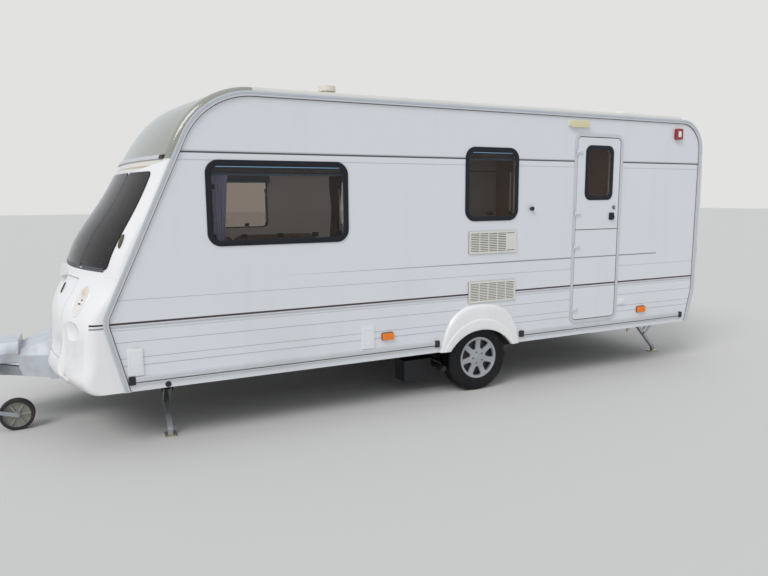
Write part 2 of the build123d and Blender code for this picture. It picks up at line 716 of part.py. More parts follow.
# Roof fittings. Columns: name, x centre, y centre
roof_top = ROOF_Z + ROOF_CROWN
DOME_AXIS_Z = roof_top + RIM_RISE + DOME_HINGE_R
ROOFLIGHTS = [("middle", 540, 0), ("rear", 2150, -500)]
rims = []
lids = {}
roof_cut = roof
for name, x, y in ROOFLIGHTS:
    half = ROOFLIGHT / 2
    hole = ROOFLIGHT_HOLE / 2
    roof_cut -= block(x - hole, x + hole, y - hole, y + hole, ROOF_Z - 50, roof_top + 50)
    rim = slab(rounded(x - half, x + half, y - half, y + half, 40)
               - rounded(x - hole, x + hole, y - hole, y + hole, 25), roof_top - 40, roof_top + RIM_RISE)
    rim -= roof_solid
    axis_x = x + half + DOME_HINGE_OUT
    for y0, y1 in ((y - 45, y - 31), (y + 31, y + 45)):
        rim += block(x + half - 5, axis_x + DOME_HINGE_R, y0, y1, roof_top + 4, roof_top + RIM_RISE)
        rim += block(axis_x - DOME_HINGE_R, axis_x + DOME_HINGE_R, y0, y1, roof_top + 4, DOME_AXIS_Z)
        rim += rod_y(axis_x, DOME_AXIS_Z, DOME_HINGE_R, y0, y1)
    rims.append(rim + rod_y(axis_x, DOME_AXIS_Z, DOME_PIN_R, y - 45, y + 45))
    base = roof_top + RIM_RISE + SEAM
    outer = loft([Plane.XY.offset(base) * rounded(x - half, x + half, y - half, y + half, 45),
                  Plane.XY.offset(base + LID_RISE - 27) * rounded(
                      x - half + 45, x + half - 45, y - half + 45, y + half - 45, 60)])
    inner = loft([Plane.XY.offset(base - 1) * rounded(x - half + 4, x + half - 4, y - half + 4,
                                                      y + half - 4, 41),
                  Plane.XY.offset(base + LID_RISE - 31) * rounded(
                      x - half + 49, x + half - 49, y - half + 49, y + half - 49, 56)])
    eye = rod_y(axis_x, DOME_AXIS_Z, DOME_HINGE_R, y - 30, y + 30)
    eye += block(x + half - 8, axis_x, y - 30, y + 30, base, DOME_AXIS_Z)
    lids[name] = (outer - inner) + (eye - rod_y(axis_x, DOME_AXIS_Z, DOME_PIN_R + PIN_FIT, y - 40, y + 40))

# Roof sheets: they meet along the sides of the rooflights, so each lies beside a hole and not round it
joins = sorted({y + side * ROOFLIGHT_HOLE / 2 for name, x, y in ROOFLIGHTS for side in (-1, 1)})
sheet_edges = [-far, *joins, far]
sheets = []
for y0, y1 in zip(sheet_edges, sheet_edges[1:]):
    sheets += (roof_cut & block(-far, far, y0, y1, 0, far)).solids()
write("roof_panel", *sheets)
write("rooflight_rims", *rims)
for name in lids:
    write("rooflight_lid_" + name, lids[name])
flue = rod_z(FLUE_X, FLUE_Y, FLUE_R * 0.72, roof_top - 30, 2560) - roof_solid
flue += rod_z(FLUE_X, FLUE_Y, FLUE_R, 2560, 2600)
write("roof_flue", flue)

# Chassis: two side members, cross members and the A-frame
member = plate(make_face(Polyline(
    (MEMBER_FRONT_X - 40, FLOOR_Z), (MEMBER_REAR_X, FLOOR_Z), (MEMBER_REAR_X, FLOOR_Z - 70),
    (MEMBER_REAR_X - 500, FLOOR_Z - MEMBER_DEPTH), (MEMBER_FRONT_X + 700, FLOOR_Z - MEMBER_DEPTH),
    (MEMBER_FRONT_X - 40, FLOOR_Z - DRAW_DEPTH), close=True)),
    MEMBER_Y - MEMBER_WIDTH / 2, MEMBER_Y + MEMBER_WIDTH / 2)
draw = slab(make_face(Polyline(
    (MEMBER_FRONT_X, MEMBER_Y + MEMBER_WIDTH / 2), (MEMBER_FRONT_X, MEMBER_Y - MEMBER_WIDTH / 2),
    (DRAW_TIP_X, DRAW_TIP_Y - MEMBER_WIDTH / 2), (DRAW_TIP_X, DRAW_TIP_Y + MEMBER_WIDTH / 2),
    close=True)), 0, ROOF_Z)
draw &= plate(make_face(Polyline(
    (MEMBER_FRONT_X, FLOOR_Z), (DRAW_KINK_X - 30, FLOOR_Z), (DRAW_BEND_X, DRAW_TOP - 10),
    (DRAW_TIP_X, DRAW_TOP), (DRAW_TIP_X, DRAW_TOP - TIP_DEPTH), (DRAW_BEND_X, DRAW_TOP - DRAW_DEPTH - 9),
    (DRAW_KINK_X, FLOOR_Z - TIP_DEPTH), (MEMBER_FRONT_X, FLOOR_Z - DRAW_DEPTH), close=True)), 0, far)
chassis = member + draw
chassis += mirrored(chassis)
for x, z0 in ((MEMBER_FRONT_X, FLOOR_Z - 60), (-900, FLOOR_Z - 60), (1000, FLOOR_Z - 60),
              (MEMBER_REAR_X - 30, FLOOR_Z - 60)):
    chassis += block(x - 25, x + 25, -MEMBER_Y, MEMBER_Y, z0, FLOOR_Z)
chassis += block(DRAW_TIP_X - 10, DRAW_TIP_X + 110, -DRAW_TIP_Y - 22, DRAW_TIP_Y + 22,
                 DRAW_TOP - TIP_DEPTH, DRAW_TOP)
write("chassis_frame", chassis)

# Axle tube with trailing arms, stubs and back plates
tube_z = TYRE_R - AXLE_DROP
beam = rod_y(-AXLE_LEAD, tube_z, AXLE_TUBE_R, -ARM_Y + 20, ARM_Y - 20)
for side in (-1, 1):
    arm = plate(make_hull(((Pos(-AXLE_LEAD, tube_z) * Circle(42)).edges()
                           + (Pos(0, TYRE_R) * Circle(32)).edges())),
                *sorted((side * (ARM_Y - 20), side * (ARM_Y - 20 + ARM_THICK))))
    back = rod_y(0, TYRE_R, 115, *sorted((side * 861, side * 873)))
    stub = rod_y(0, TYRE_R, STUB_R, *sorted((side * 860, side * 1022)))
    hanger = block(-AXLE_LEAD - 60, -AXLE_LEAD + 60, *sorted((side * (MEMBER_Y - 22),
                   side * (MEMBER_Y + 22))), tube_z, FLOOR_Z - MEMBER_DEPTH)
    beam += arm + back + stub + hanger
write("axle_beam", beam)

# Tyres and wheels
for side, name in ((-1, "near"), (1, "off")):
    half = TYRE_WIDTH / 2
    profile = make_face(FilletPolyline(
        (RIM_R - 8, -half + 14), (RIM_R + 40, -half), (TYRE_R - 45, -half), (TYRE_R, -half + 22),
        (TYRE_R, half - 22), (TYRE_R - 45, half), (RIM_R + 40, half), (RIM_R - 8, half - 14),
        radius=[2, 20, 20, 14, 14, 20, 20, 2], close=True))
    tyre = revolve(Plane.XZ * profile, Axis.Z)
    tyre = Pos(0, side * TYRE_Y, TYRE_R) * Rot(90, 0, 0) * tyre
    write("tyre_" + name, tyre)
    barrel = Cylinder(RIM_R - 8 - SEAM, TYRE_WIDTH - 30) - Cylinder(RIM_R - 20, TYRE_WIDTH)
    trim = revolve(Plane.XZ * make_face(Polyline(
        (0, half - 9), (HUB_R, half - 9), (112, half - 17), (150, half - 13), (168, half - 5),
        (180, half - 1), (TRIM_R, half - 4), (TRIM_R, half - 7.5), (171, half - 11.5),
        (158, half - 19), (148, half - 21), (112, half - 25), (HUB_R, half - 19), (0, half - 19),
        close=True)), Axis.Z)
    opening = extrude(make_face(FilletPolyline(
        (72, -12), (156, -41), (156, 41), (72, 12), radius=[8, 14, 14, 8], close=True)), half)
    for i in range(SPOKES):
        trim -= Rot(0, 0, (i + 0.5) * 360 / SPOKES) * Pos(0, 0, 40) * opening
        trim -= Rot(0, 0, i * 360 / SPOKES) * Pos(NUT_CIRCLE, 0, half) * Cylinder(NUT_HOLE_R, 30)
    disc = Pos(0, 0, half - 52) * Cylinder(RIM_R - 14, 6)
    hub = Pos(0, 0, (half - 77) / 2) * Cylinder(NUT_CIRCLE - NUT_HOLE_R - 2, half + 43)
    bore = Pos(0, 0, (half - 92) / 2) * Cylinder(STUB_R + PIN_FIT, half + 30)
    wheel = barrel + trim + disc + hub - bore
    wheel += Pos(0, 0, half - 9) * Cylinder(CAP_R, 6)
    wheel = Pos(0, side * TYRE_Y, TYRE_R) * Rot(90 if side < 0 else -90, 0, 0) * wheel
    write("wheel_" + name, wheel)

# Coupling head on top of the A-frame, with bellows on its shaft and a lift handle
NECK_Z = DRAW_TOP + 2
head = slab(rounded(DRAW_TIP_X - 30, DRAW_TIP_X + 110, -46, 46, 10), DRAW_TOP, DRAW_TOP + 30)
neck = rod_x(0, NECK_Z, 24, HITCH_X + 120, DRAW_TIP_X + 60)
for i in range(BELLOWS):
    ring_x = DRAW_TIP_X - 50 - i * BELLOWS_STEP
    neck += rod_x(0, NECK_Z, 32, ring_x, ring_x + BELLOWS_STEP / 2)
snout = plate(make_hull((Pos(BALL_X + 10, BALL_Z + 18) * Circle(28)).edges()
                        + (Pos(HITCH_X + 190, NECK_Z) * Circle(24)).edges()), -32, 32)
cup = rod_z(BALL_X, 0, 45, CUP_LOW, BALL_Z + 46)
grip = plate(make_hull((Pos(BALL_X + 20, BALL_Z + 60) * Circle(14)).edges()
                       + (Pos(HITCH_X + 270, BALL_Z + 96) * Circle(11)).edges()), -17, 17)
grip += rod_z(BALL_X + 20, 0, 12, BALL_Z + 40, BALL_Z + 62)
coupling = head + neck + snout + cup + grip - rod_z(BALL_X, 0, BALL_R, CUP_LOW - 30, CUP_TOP)
write("coupling_head", coupling - chassis)

# Handbrake lever in its bracket on the coupling's foot
bracket_z = DRAW_TOP + 30 + SEAM
lever = block(-4120, -3995, -14, 14, bracket_z, bracket_z + 34)
tilt = Pos(-4060, 0, bracket_z + 20) * Rot(0, 12, 0)
lever += tilt * Pos(0, 0, 130) * Cylinder(9, 260)
lever += tilt * Pos(0, 0, 230) * Cylinder(13, 110)
write("handbrake_lever", lever)

# Drawbar fairing: a hood, a lower saddle behind it and a flange against the nose
# Columns: x, half width, low edge, shoulder, top, first and last wall of the hollow inside
COVER_SHEET = 5
COVER_BEVEL = 55
COVER = [
    ((-3985, 150, 500, 560, 625), (-3605, 253, 500, 572, 648), 5, -5),
    ((-3606, 253, 402, 552, 583), (-3400, 316, 374, 548, 650), -10, 6),
    ((-3401, 322, 365, 556, 662), (-3340, 334, 360, 556, 668), 5, 1),
]


def cover_section(row, inset, shift):
    """Six-sided section of the fairing; the hollow inside it is open below."""
    x, half, low, shoulder, top = row
    side, crest, foot = half - inset, half - inset - COVER_BEVEL, low - 20 * inset
    return Plane.YZ.offset(x + shift) * make_face(Polyline(
        (-side, foot), (-side, shoulder), (-crest, top - inset), (crest, top - inset),
        (side, shoulder), (side, foot), close=True))


cover_outer = [loft([cover_section(a, 0, 0), cover_section(b, 0, 0)]) for a, b, s0, s1 in COVER]
cover_inner = [loft([cover_section(a, COVER_SHEET, s0), cover_section(b, COVER_SHEET, s1)])
               for a, b, s0, s1 in COVER]
cover = cover_outer[0] + cover_outer[1] + cover_outer[2]
for shape in cover_inner:
    cover -= shape
cover -= plate(rounded(-4200, -3588, 200, 500, 105), -far, far)
cover = (cover - front_skin - front_core).solids().sort_by(SortBy.VOLUME)[-1]
write("drawbar_cover", cover)

# Jockey wheel: clamp, outer tube, sliding inner tube, swivel fork and wheel
tube_top = 760
fork_top = FORK_TOP
tube_low = fork_top + 6 + JOCKEY_TRAVEL + 14
outer_tube = rod_z(STEM_X, STEM_Y, STEM_R, tube_low, tube_top) - rod_z(
    STEM_X, STEM_Y, STEM_R - TUBE_WALL, tube_low - 1, tube_top - 10)
crank = rod_z(STEM_X, STEM_Y, 8, tube_top, tube_top + 40) + rod_y(
    STEM_X, tube_top + 40, 7, STEM_Y - 110, STEM_Y + 7)
crank += rod_z(STEM_X, STEM_Y - 110, 11, tube_top + 34, tube_top + 115)
write("jockey_outer_tube", outer_tube + crank)
inner_r = STEM_R - TUBE_WALL - STEM_FIT
inner_tube = rod_z(STEM_X, STEM_Y, inner_r, fork_top + 6 + SEAM, 560) + rod_z(
    STEM_X, STEM_Y, 8, fork_top - 26, fork_top + 40)
write("jockey_inner_tube", inner_tube)
yoke_in = JOCKEY_WIDTH / 2 + SPIN_GAP
crown = rod_z(STEM_X, STEM_Y, 24, fork_top - 22, fork_top + 6)
hub_x = STEM_X + JOCKEY_TRAIL
plates = []
for end in (-1, 1):
    y0, y1 = sorted((STEM_Y + end * yoke_in, STEM_Y + end * (yoke_in + 5)))
    blade = plate(make_hull((Pos(STEM_X, fork_top - 12) * Circle(14)).edges()
                            + (Pos(hub_x, JOCKEY_R) * Circle(16)).edges()), y0, y1)
    plates.append(blade)
bridge = block(STEM_X - 12, STEM_X + 14, STEM_Y - yoke_in - 1, STEM_Y + yoke_in + 1,
               fork_top - 22, fork_top - 4)
axle_pin = rod_y(hub_x, JOCKEY_R, JOCKEY_BORE, STEM_Y - yoke_in - 9, STEM_Y + yoke_in + 9)
fork = crown + plates[0] + plates[1] + bridge + axle_pin
fork -= rod_z(STEM_X, STEM_Y, 8 + PIN_FIT, fork_top - 40, fork_top + 60)
write("jockey_fork", fork)
jockey = fillet(Cylinder(JOCKEY_R, JOCKEY_WIDTH).edges(), 9) - Cylinder(JOCKEY_R - JOCKEY_TYRE, 99)
jockey += Cylinder(JOCKEY_R - JOCKEY_TYRE + 1, 10) + Cylinder(24, JOCKEY_WIDTH)
for i in range(JOCKEY_SPOKES):
    jockey += Rot(0, 0, i * 360 / JOCKEY_SPOKES) * Pos(57, 0, 0) * Box(74, 12, 36)
jockey -= Cylinder(JOCKEY_BORE + PIN_FIT, 99)
write("jockey_wheel", Pos(hub_x, STEM_Y, JOCKEY_R) * Rot(90, 0, 0) * jockey)
draw_y = DRAW_TIP_Y + (MEMBER_Y - DRAW_TIP_Y) * (STEM_X - DRAW_TIP_X) / (MEMBER_FRONT_X - DRAW_TIP_X)
clamp = rod_z(STEM_X, STEM_Y, 36, DRAW_TOP - 65, DRAW_TOP - 20)
clamp += block(STEM_X - 22, STEM_X + 22, STEM_Y, -draw_y - 24, DRAW_TOP - 60, DRAW_TOP - 25)
clamp += rod_x(STEM_Y - 46, DRAW_TOP - 42, 7, STEM_X - 40, STEM_X + 40)
clamp += block(STEM_X - 14, STEM_X + 14, STEM_Y - 54, STEM_Y - 30, DRAW_TOP - 56, DRAW_TOP - 29)
clamp -= rod_z(STEM_X, STEM_Y, STEM_R, 0, 900)
write("jockey_clamp", clamp - chassis)

# Corner steadies. Columns: name, pivot x, pivot y, direction the foot swings out
STEADIES = [
    ("front_near", -2625, -910, -90),
    ("front_off", -2625, 910, 90),
    ("rear_near", 2520, -720, 0),
    ("rear_off", 2520, 720, 0),
]
theta = math.radians(STEADY_ANGLE)
tx, mx, mz = -2 * STAY * math.cos(theta), -STAY * math.cos(theta), -STAY * math.sin(theta)
fx, fz = tx + LEG * math.cos(theta), -LEG * math.sin(theta)
slide_in = -2 * STAY * math.cos(math.radians(STOW_ANGLE)) - 14


def steady_pieces():
    """Bracket with screw, stay pair and leg, pivot at the origin, foot out along +x."""
    cheeks = []
    lift = FLOOR_Z - STEADY_Z
    for end in (-1, 1):
        y0, y1 = sorted((end * CHEEK_IN, end * (CHEEK_IN + CHEEK)))
        cheeks.append(plate(rounded(slide_in, 24, -16, lift, 12), y0, y1))
    top = block(slide_in + 12, 12, -CHEEK_IN - CHEEK, CHEEK_IN + CHEEK, lift - CHEEK, lift)
    screw = rod_x(0, STEADY_SCREW, 9, slide_in - 4, 60)
    ends = [block(x - 3, x + 3, -CHEEK_IN - 1, CHEEK_IN + 1, STEADY_SCREW - 18, lift - 1)
            for x in (slide_in + 16, 2)]
    pin = rod_y(0, 0, PIN_R, -CHEEK_IN - CHEEK - 3, CHEEK_IN + CHEEK + 3)
    bracket = cheeks[0] + cheeks[1] + top + screw + ends[0] + ends[1] + pin
    stays = []
    for end in (-1, 1):
        y0, y1 = sorted((end * (LEG_HALF + 5), end * (LEG_HALF + 5 + STAY_THICK)))
        bar = plate(make_hull(Circle(13).edges() + (Pos(mx, mz) * Circle(13)).edges()), y0, y1)
        bar -= rod_y(0, 0, PIN_R + PIN_FIT, -99, 99)
        stays.append(bar)
    mid_pin = rod_y(mx, mz, PIN_R, -LEG_HALF - 5 - STAY_THICK, LEG_HALF + 5 + STAY_THICK)
    stay = stays[0] + stays[1] + mid_pin
    leg = plate(make_hull((Pos(tx, 0) * Circle(14)).edges()
                          + (Pos(fx, fz) * Circle(14)).edges()), -LEG_HALF, LEG_HALF)
    leg -= plate(make_hull((Pos(mx, mz) * Circle(10)).edges()
                           + (Pos(fx, fz) * Circle(10)).edges()), -LEG_HALF + 3, LEG_HALF - 3)
    leg -= rod_y(mx, mz, PIN_R + PIN_FIT, -99, 99)
    leg += rod_y(tx, 0, PIN_R, -LEG_HALF - 12, LEG_HALF + 12)
    foot = Pos(fx, 0, fz - FOOT_DROP) * slab(rounded(-55, 55, -40, 40, 12), 0, 12)
    ankle = block(fx - 14, fx + 14, -LEG_HALF, LEG_HALF, fz - FOOT_DROP + 10, fz)
    return bracket, stay, leg + foot + ankle


bracket, stay, leg = steady_pieces()
brackets = []
for name, x, y, turn in STEADIES:
    place = Pos(x, y, STEADY_Z) * Rot(0, 0, turn)
    brackets.append(place * bracket)
    write("steady_stay_" + name, place * stay)
    write("steady_leg_" + name, place * leg)
write("steady_brackets", *brackets)

# Below the floor: mover units ahead of the wheels, waste outlet
movers = []
for side in (-1, 1):
    case = block(-650, -380, *sorted((side * 700, side * 880)), 110, FLOOR_Z - MEMBER_DEPTH)
    roller = rod_y(-345, 235, 24, *sorted((side * 760, side * 1040)))
    link = block(-385, -345, *sorted((side * 780, side * 870)), 220, 250)
    movers.append(case + roller + link)
write("mover_units", *movers)
write("waste_outlet", rod_z(1876, -1000, 18, 335, FLOOR_Z))

# Inside: lockers, kitchen, partition and soft parts
floor_top = FLOOR_Z + FLOOR
BOARD = 16
furniture = []
for side in (-1, 1):
    y0, y1 = sorted((side * 450, side * (IN_Y - SEAM)))
    seat = block(-2600, -760, y0, y1, floor_top, 850)
    y0, y1 = sorted((side * (450 + BOARD), side * IN_Y))
    furniture.append(seat - block(-2600 + BOARD, -760 - BOARD, y0, y1, 0, 850 - BOARD))
chest = block(BULKHEAD_X + BULKHEAD, -2601, -600, 600, floor_top, 1000)
furniture.append(chest - block(-3000, -2601 - BOARD, -600 + BOARD, 600 - BOARD, 0, 1000 - BOARD))
kitchen = block(-450, 900, -IN_Y + SEAM, -550, floor_top, 1360)
kitchen -= block(-450 + BOARD, 900 - BOARD, -far, -550 - BOARD, 0, 1360 - 2 * BOARD)
furniture.append(kitchen)
partition = block(1690, 1690 + BOARD, -IN_Y + SEAM, IN_Y - SEAM, floor_top, ROOF_Z - 10)
furniture.append(partition - block(1600, 1800, -300, 300, 300, 2300))
write("cabin_furniture", *furniture)
cushions = []
for side in (-1, 1):
    y0, y1 = sorted((side * 450, side * (IN_Y - SEAM)))
    cushions.append(block(-2595, -765, y0, y1, 850 + SEAM, 970))
    y0, y1 = sorted((side * 930, side * (IN_Y - SEAM)))
    cushions.append(block(-2595, -765, y0, y1, 970 + SEAM, 1340))
write("seat_cushions", *cushions)
curtains = []
for x in (-2300, -1390):
    curtains.append(block(x, x + 110, -IN_Y + SEAM, -IN_Y + 34, 1345, 1990))
write("curtains", *curtains)
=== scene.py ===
"""A travel caravan parked on its jockey wheel and four corner steadies, dressed in its finishes.

Metres, in the frame of the CAD model: +X runs to the rear, +Y to the off side, +Z up, the door is
on the -Y side, and the ground is z = 0. Every piece rides on the body that carries it.
"""

import math

import bmesh
import bpy
import numpy as np
from mathutils import Matrix, Vector


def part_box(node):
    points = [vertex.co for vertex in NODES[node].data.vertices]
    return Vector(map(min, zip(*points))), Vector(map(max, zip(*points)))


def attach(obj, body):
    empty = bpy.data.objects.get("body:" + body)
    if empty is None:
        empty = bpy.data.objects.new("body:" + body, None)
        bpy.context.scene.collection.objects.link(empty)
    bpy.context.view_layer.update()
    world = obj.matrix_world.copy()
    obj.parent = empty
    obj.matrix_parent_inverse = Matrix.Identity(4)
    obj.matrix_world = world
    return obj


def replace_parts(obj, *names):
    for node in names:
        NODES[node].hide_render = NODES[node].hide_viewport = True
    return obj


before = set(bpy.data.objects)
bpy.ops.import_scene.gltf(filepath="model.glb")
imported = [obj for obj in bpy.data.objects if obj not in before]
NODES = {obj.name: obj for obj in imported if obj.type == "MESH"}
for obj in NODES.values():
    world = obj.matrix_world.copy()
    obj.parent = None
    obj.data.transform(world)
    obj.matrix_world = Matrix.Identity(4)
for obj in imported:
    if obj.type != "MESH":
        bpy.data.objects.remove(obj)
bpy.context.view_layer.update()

# Places that the pieces share, read from the frame

SIDES = ((-1, "near"), (1, "off"))
OUT = {-1: (0, -1, 0), 1: (0, 1, 0)}
WHEEL_LOW, WHEEL_HIGH = (np.array(corner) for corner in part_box("tyre_near"))
AXLE_X = (WHEEL_LOW[0] + WHEEL_HIGH[0]) / 2
TYRE_RADIUS = (WHEEL_HIGH[0] - WHEEL_LOW[0]) / 2
WALL_Y = -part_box("side_wall_near")[0].y
WHEEL_Y = (WHEEL_LOW[1] + WHEEL_HIGH[1]) / 2
WHEEL_Z = (WHEEL_LOW[2] + WHEEL_HIGH[2]) / 2


def at(x):
    """x of the model frame for a length measured from the axle."""
    return AXLE_X + x


def to_side(side, vector):
    """A place or direction of the off side, mirrored for the door side."""
    return (vector[0], side * vector[1], vector[2])


# Meshes from arrays

def grid_faces(rows, columns, wrap_rows=False, wrap_columns=False):
    """Quads between neighbouring points of a grid, and across its seam where it wraps."""
    r = np.arange(rows if wrap_rows else rows - 1)[:, None]
    c = np.arange(columns if wrap_columns else columns - 1)[None, :]
    r_next = (r + 1) % rows
    c_next = (c + 1) % columns
    corners = (r * columns + c, r * columns + c_next, r_next * columns + c_next, r_next * columns + c)
    return np.stack(np.broadcast_arrays(*corners), -1).reshape(-1, 4).tolist()


def grid_shape(points, wrap_rows=False, wrap_columns=False, cap_rows=False):
    """A grid of points as one shape, with its first and last rows closed if they are loops."""
    rows, columns = points.shape[:2]
    faces = grid_faces(rows, columns, wrap_rows, wrap_columns)
    if cap_rows:
        faces.append(list(range(columns))[::-1])
        faces.append(list(range((rows - 1) * columns, rows * columns)))
    return points.reshape(-1, 3), faces


def piece(name, shapes, finish, body="root", sharp=38):
    """One object at the origin, made of shapes that are merged, with outward faces."""
    points, faces, start = [], [], 0
    for shape_points, shape_faces in shapes:
        points.append(shape_points)
        faces += [[start + i for i in face] for face in shape_faces]
        start += len(shape_points)
    mesh = bpy.data.meshes.new(name)
    mesh.from_pydata(np.concatenate(points).tolist(), [], faces)
    work = bmesh.new()
    work.from_mesh(mesh)
    bmesh.ops.remove_doubles(work, verts=work.verts, dist=1e-6)
    bmesh.ops.dissolve_degenerate(work, edges=work.edges, dist=1e-6)
    bmesh.ops.recalc_face_normals(work, faces=work.faces)
    work.to_mesh(mesh)
    work.free()
    mesh.shade_smooth()
    mesh.set_sharp_from_angle(angle=math.radians(sharp))
    mesh.materials.append(finish)
    made = bpy.data.objects.new(name, mesh)
    bpy.context.scene.collection.objects.link(made)
    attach(made, body)
    return made


def turned(profile, centre, axis, steps=64, start=0.0):
    """Rows of (radius, height) turned about an axis: centre + height a + radius (u cos t + v sin t)."""
    a = np.array(axis, float)
    a = a / np.linalg.norm(a)
    helper = np.array([0.0, 0.0, 1.0]) if abs(a[2]) < 0.9 else np.array([1.0, 0.0, 0.0])
    u = np.cross(helper, a)
    u = u / np.linalg.norm(u)
    v = np.cross(a, u)
    t = start + np.arange(steps) * 2 * math.pi / steps
    profile = np.array(profile, float)
    ring = np.cos(t)[:, None] * u + np.sin(t)[:, None] * v
    points = profile[:, None, 0, None] * ring[None] + profile[:, None, 1, None] * a
    return grid_shape(points + np.array(centre, float), wrap_columns=True)


def soft_block(low, high, radius, steps=4):
    """A box with rounded edges: the points of a sphere's grid, each moved out to its own corner."""
    low, high = np.array(low, float), np.array(high, float)
    radius = min(radius, *((high - low) / 2 * 0.999))
    reach = (high - low) / 2 - radius
    lat = np.concatenate([np.linspace(-90, 0, steps + 1), np.linspace(0, 90, steps + 1)])
    lon = np.concatenate([np.linspace(90 * q, 90 * q + 90, steps + 1) for q in range(4)])
    side = np.repeat([-1.0, 1.0], steps + 1)[:, None]
    quarter = np.repeat(np.arange(4), steps + 1)[None, :]
    across = np.where((quarter == 0) | (quarter == 3), 1.0, -1.0)
    along = np.where(quarter < 2, 1.0, -1.0)
    a, b = np.radians(lat)[:, None], np.radians(lon)[None, :]
    x = radius * np.cos(a) * np.cos(b) + across * reach[0]
    y = radius * np.cos(a) * np.sin(b) + along * reach[1]
    z = radius * np.sin(a) + side * reach[2] + 0 * b
    points = np.stack([x, y, z], -1) + (low + high) / 2
    return grid_shape(points, wrap_columns=True, cap_rows=True)


def wall_block(side, x0, x1, z0, z1, inner, outer, radius, steps=4):
    """A soft block on a side wall, between two heights off the wall's face."""
    y0, y1 = sorted((side * (WALL_Y + inner), side * (WALL_Y + outer)))
    return soft_block((x0, y0, z0), (x1, y1, z1), radius, steps)


def screw_head(centre, axis, radii, heights, steps):
    """A disc turned about an axis. Radii: of its side and of its eased edge. Heights: base, edge, crown."""
    (wide, narrow), (base, edge, crown) = radii, heights
    return turned([(0.0, base), (wide, base), (narrow, edge), (0.0, crown)], centre, axis, steps)


def rounded_loop(x0, x1, z0, z1, radius, steps):
    """Points (x, z) and outward directions round a rectangle with quarter circles at its corners."""
    t = np.radians(np.linspace(0, 90, steps + 1))
    points, outward = [], []
    for quarter, (cx, cz) in enumerate(((x1 - radius, z1 - radius), (x0 + radius, z1 - radius),
                                        (x0 + radius, z0 + radius), (x1 - radius, z0 + radius))):
        angle = t + quarter * math.pi / 2
        way = np.stack([np.cos(angle), np.sin(angle)], -1)
        points.append(np.array([cx, cz]) + radius * way)
        outward.append(way)
    return np.concatenate(points), np.concatenate(outward)


def filleted(corners, radii, steps=10):
    """Points and left-hand directions along straight lines whose inner corners are rounded by arcs."""
    corners = np.array(corners, float)
    points, outward = [corners[0]], []
    for before, corner, after, radius in zip(corners, corners[1:], corners[2:], radii):
        first = (before - corner) / np.linalg.norm(before - corner)
        second = (after - corner) / np.linalg.norm(after - corner)
        half = math.acos(float(np.clip(first @ second, -1, 1))) / 2
        middle = corner + (first + second) / np.linalg.norm(first + second) * radius / math.sin(half)
        start = corner + first * radius / math.tan(half) - middle
        end = corner + second * radius / math.tan(half) - middle
        turn = math.atan2(start[0] * end[1] - start[1] * end[0], start @ end)
        for t in np.linspace(0, turn, steps + 1):
            c, d = math.cos(t), math.sin(t)
            points.append(middle + np.array([c * start[0] - d * start[1], d * start[0] + c * start[1]]))
    points = np.array([*points, corners[-1]])
    ahead = np.gradient(points, axis=0)
    ahead /= np.linalg.norm(ahead, axis=1)[:, None]
    outward = np.stack([-ahead[:, 1], ahead[:, 0]], -1)
    return points, outward


def wall_sweep(line, section, side, closed=False):
    """A section of (outward, proud) rows carried along a line, or round a loop, that lies on a side wall."""
    points, outward = line
    section = np.array(section, float)
    flat = points[:, None] + section[None, :, :1] * outward[:, None]
    y = side * (WALL_Y + section[:, 1])[None, :] + 0 * flat[..., 0]
    grid = np.stack([flat[..., 0], y, flat[..., 1]], -1)
    if closed:
        return grid_shape(grid.swapaxes(0, 1), wrap_rows=True, wrap_columns=True)
    return grid_shape(grid, wrap_columns=True, cap_rows=True)


def wall_ring(x0, x1, z0, z1, radius, steps, section, side):
    """A section carried round a rounded rectangle on a side wall."""
    return wall_sweep(rounded_loop(x0, x1, z0, z1, radius, steps), section, side, closed=True)


def cushion(low, high, thin, steps=14, power=7.0, crown=0.16, pull=0.02):
    """A stuffed box: a cube's grid moved to |x|^p + |y|^p + |z|^p = 1, with a thin rim and drawn sides."""
    low, high = np.array(low, float), np.array(high, float)
    line = np.sin(np.linspace(-math.pi / 2, math.pi / 2, steps + 1))
    u, v = np.meshgrid(line, line, indexing="ij")
    shapes = []
    for axis in range(3):
        for end in (-1.0, 1.0):
            cube = np.insert(np.stack([u, v], -1), axis, end, axis=-1)
            ball = cube / (np.abs(cube) ** power).sum(-1, keepdims=True) ** (1 / power)
            a, b = (ball[..., i] for i in range(3) if i != thin)
            shaped = ball.copy()
            shaped[..., thin] *= 1 - crown + crown * (1 - a ** 4) * (1 - b ** 4)
            wide = [i for i in range(3) if i != thin]
            shaped[..., wide[0]] *= 1 - pull * (1 - b ** 2)
            shaped[..., wide[1]] *= 1 - pull * (1 - a ** 2)
            shapes.append(grid_shape(shaped * (high - low) / 2 + (high + low) / 2))
    return shapes


def pleated(x0, x1, y, z0, z1, pleats, depth, foot=1.0, waist=1.0):
    """Hung cloth: y swings by a sine across a width that narrows to its foot or is drawn in at its tie."""
    u = np.linspace(0, 1, pleats * 10 + 1)[None, :]
    v = np.linspace(0, 1, 33)[:, None]
    narrow = (foot + (1 - foot) * v) * (1 - (1 - waist) * np.exp(-((v - 0.42) / 0.2) ** 2))
    x = (x0 + x1) / 2 + (u - 0.5) * (x1 - x0) * narrow
    uneven = 0.75 + 0.25 * np.sin(4 * v + 9 * u)
    swing = depth / 2 * uneven * np.sin(2 * math.pi * pleats * u + 0.5 * np.sin(5 * v))
    points = np.stack([x, y + swing, z0 + (z1 - z0) * v + 0 * u], -1)
    across, up = np.diff(points, axis=1)[:-1], np.diff(points, axis=0)[:, :-1]
    area = float(np.linalg.norm(np.cross(across, up), axis=-1).sum())
    return grid_shape(points), area


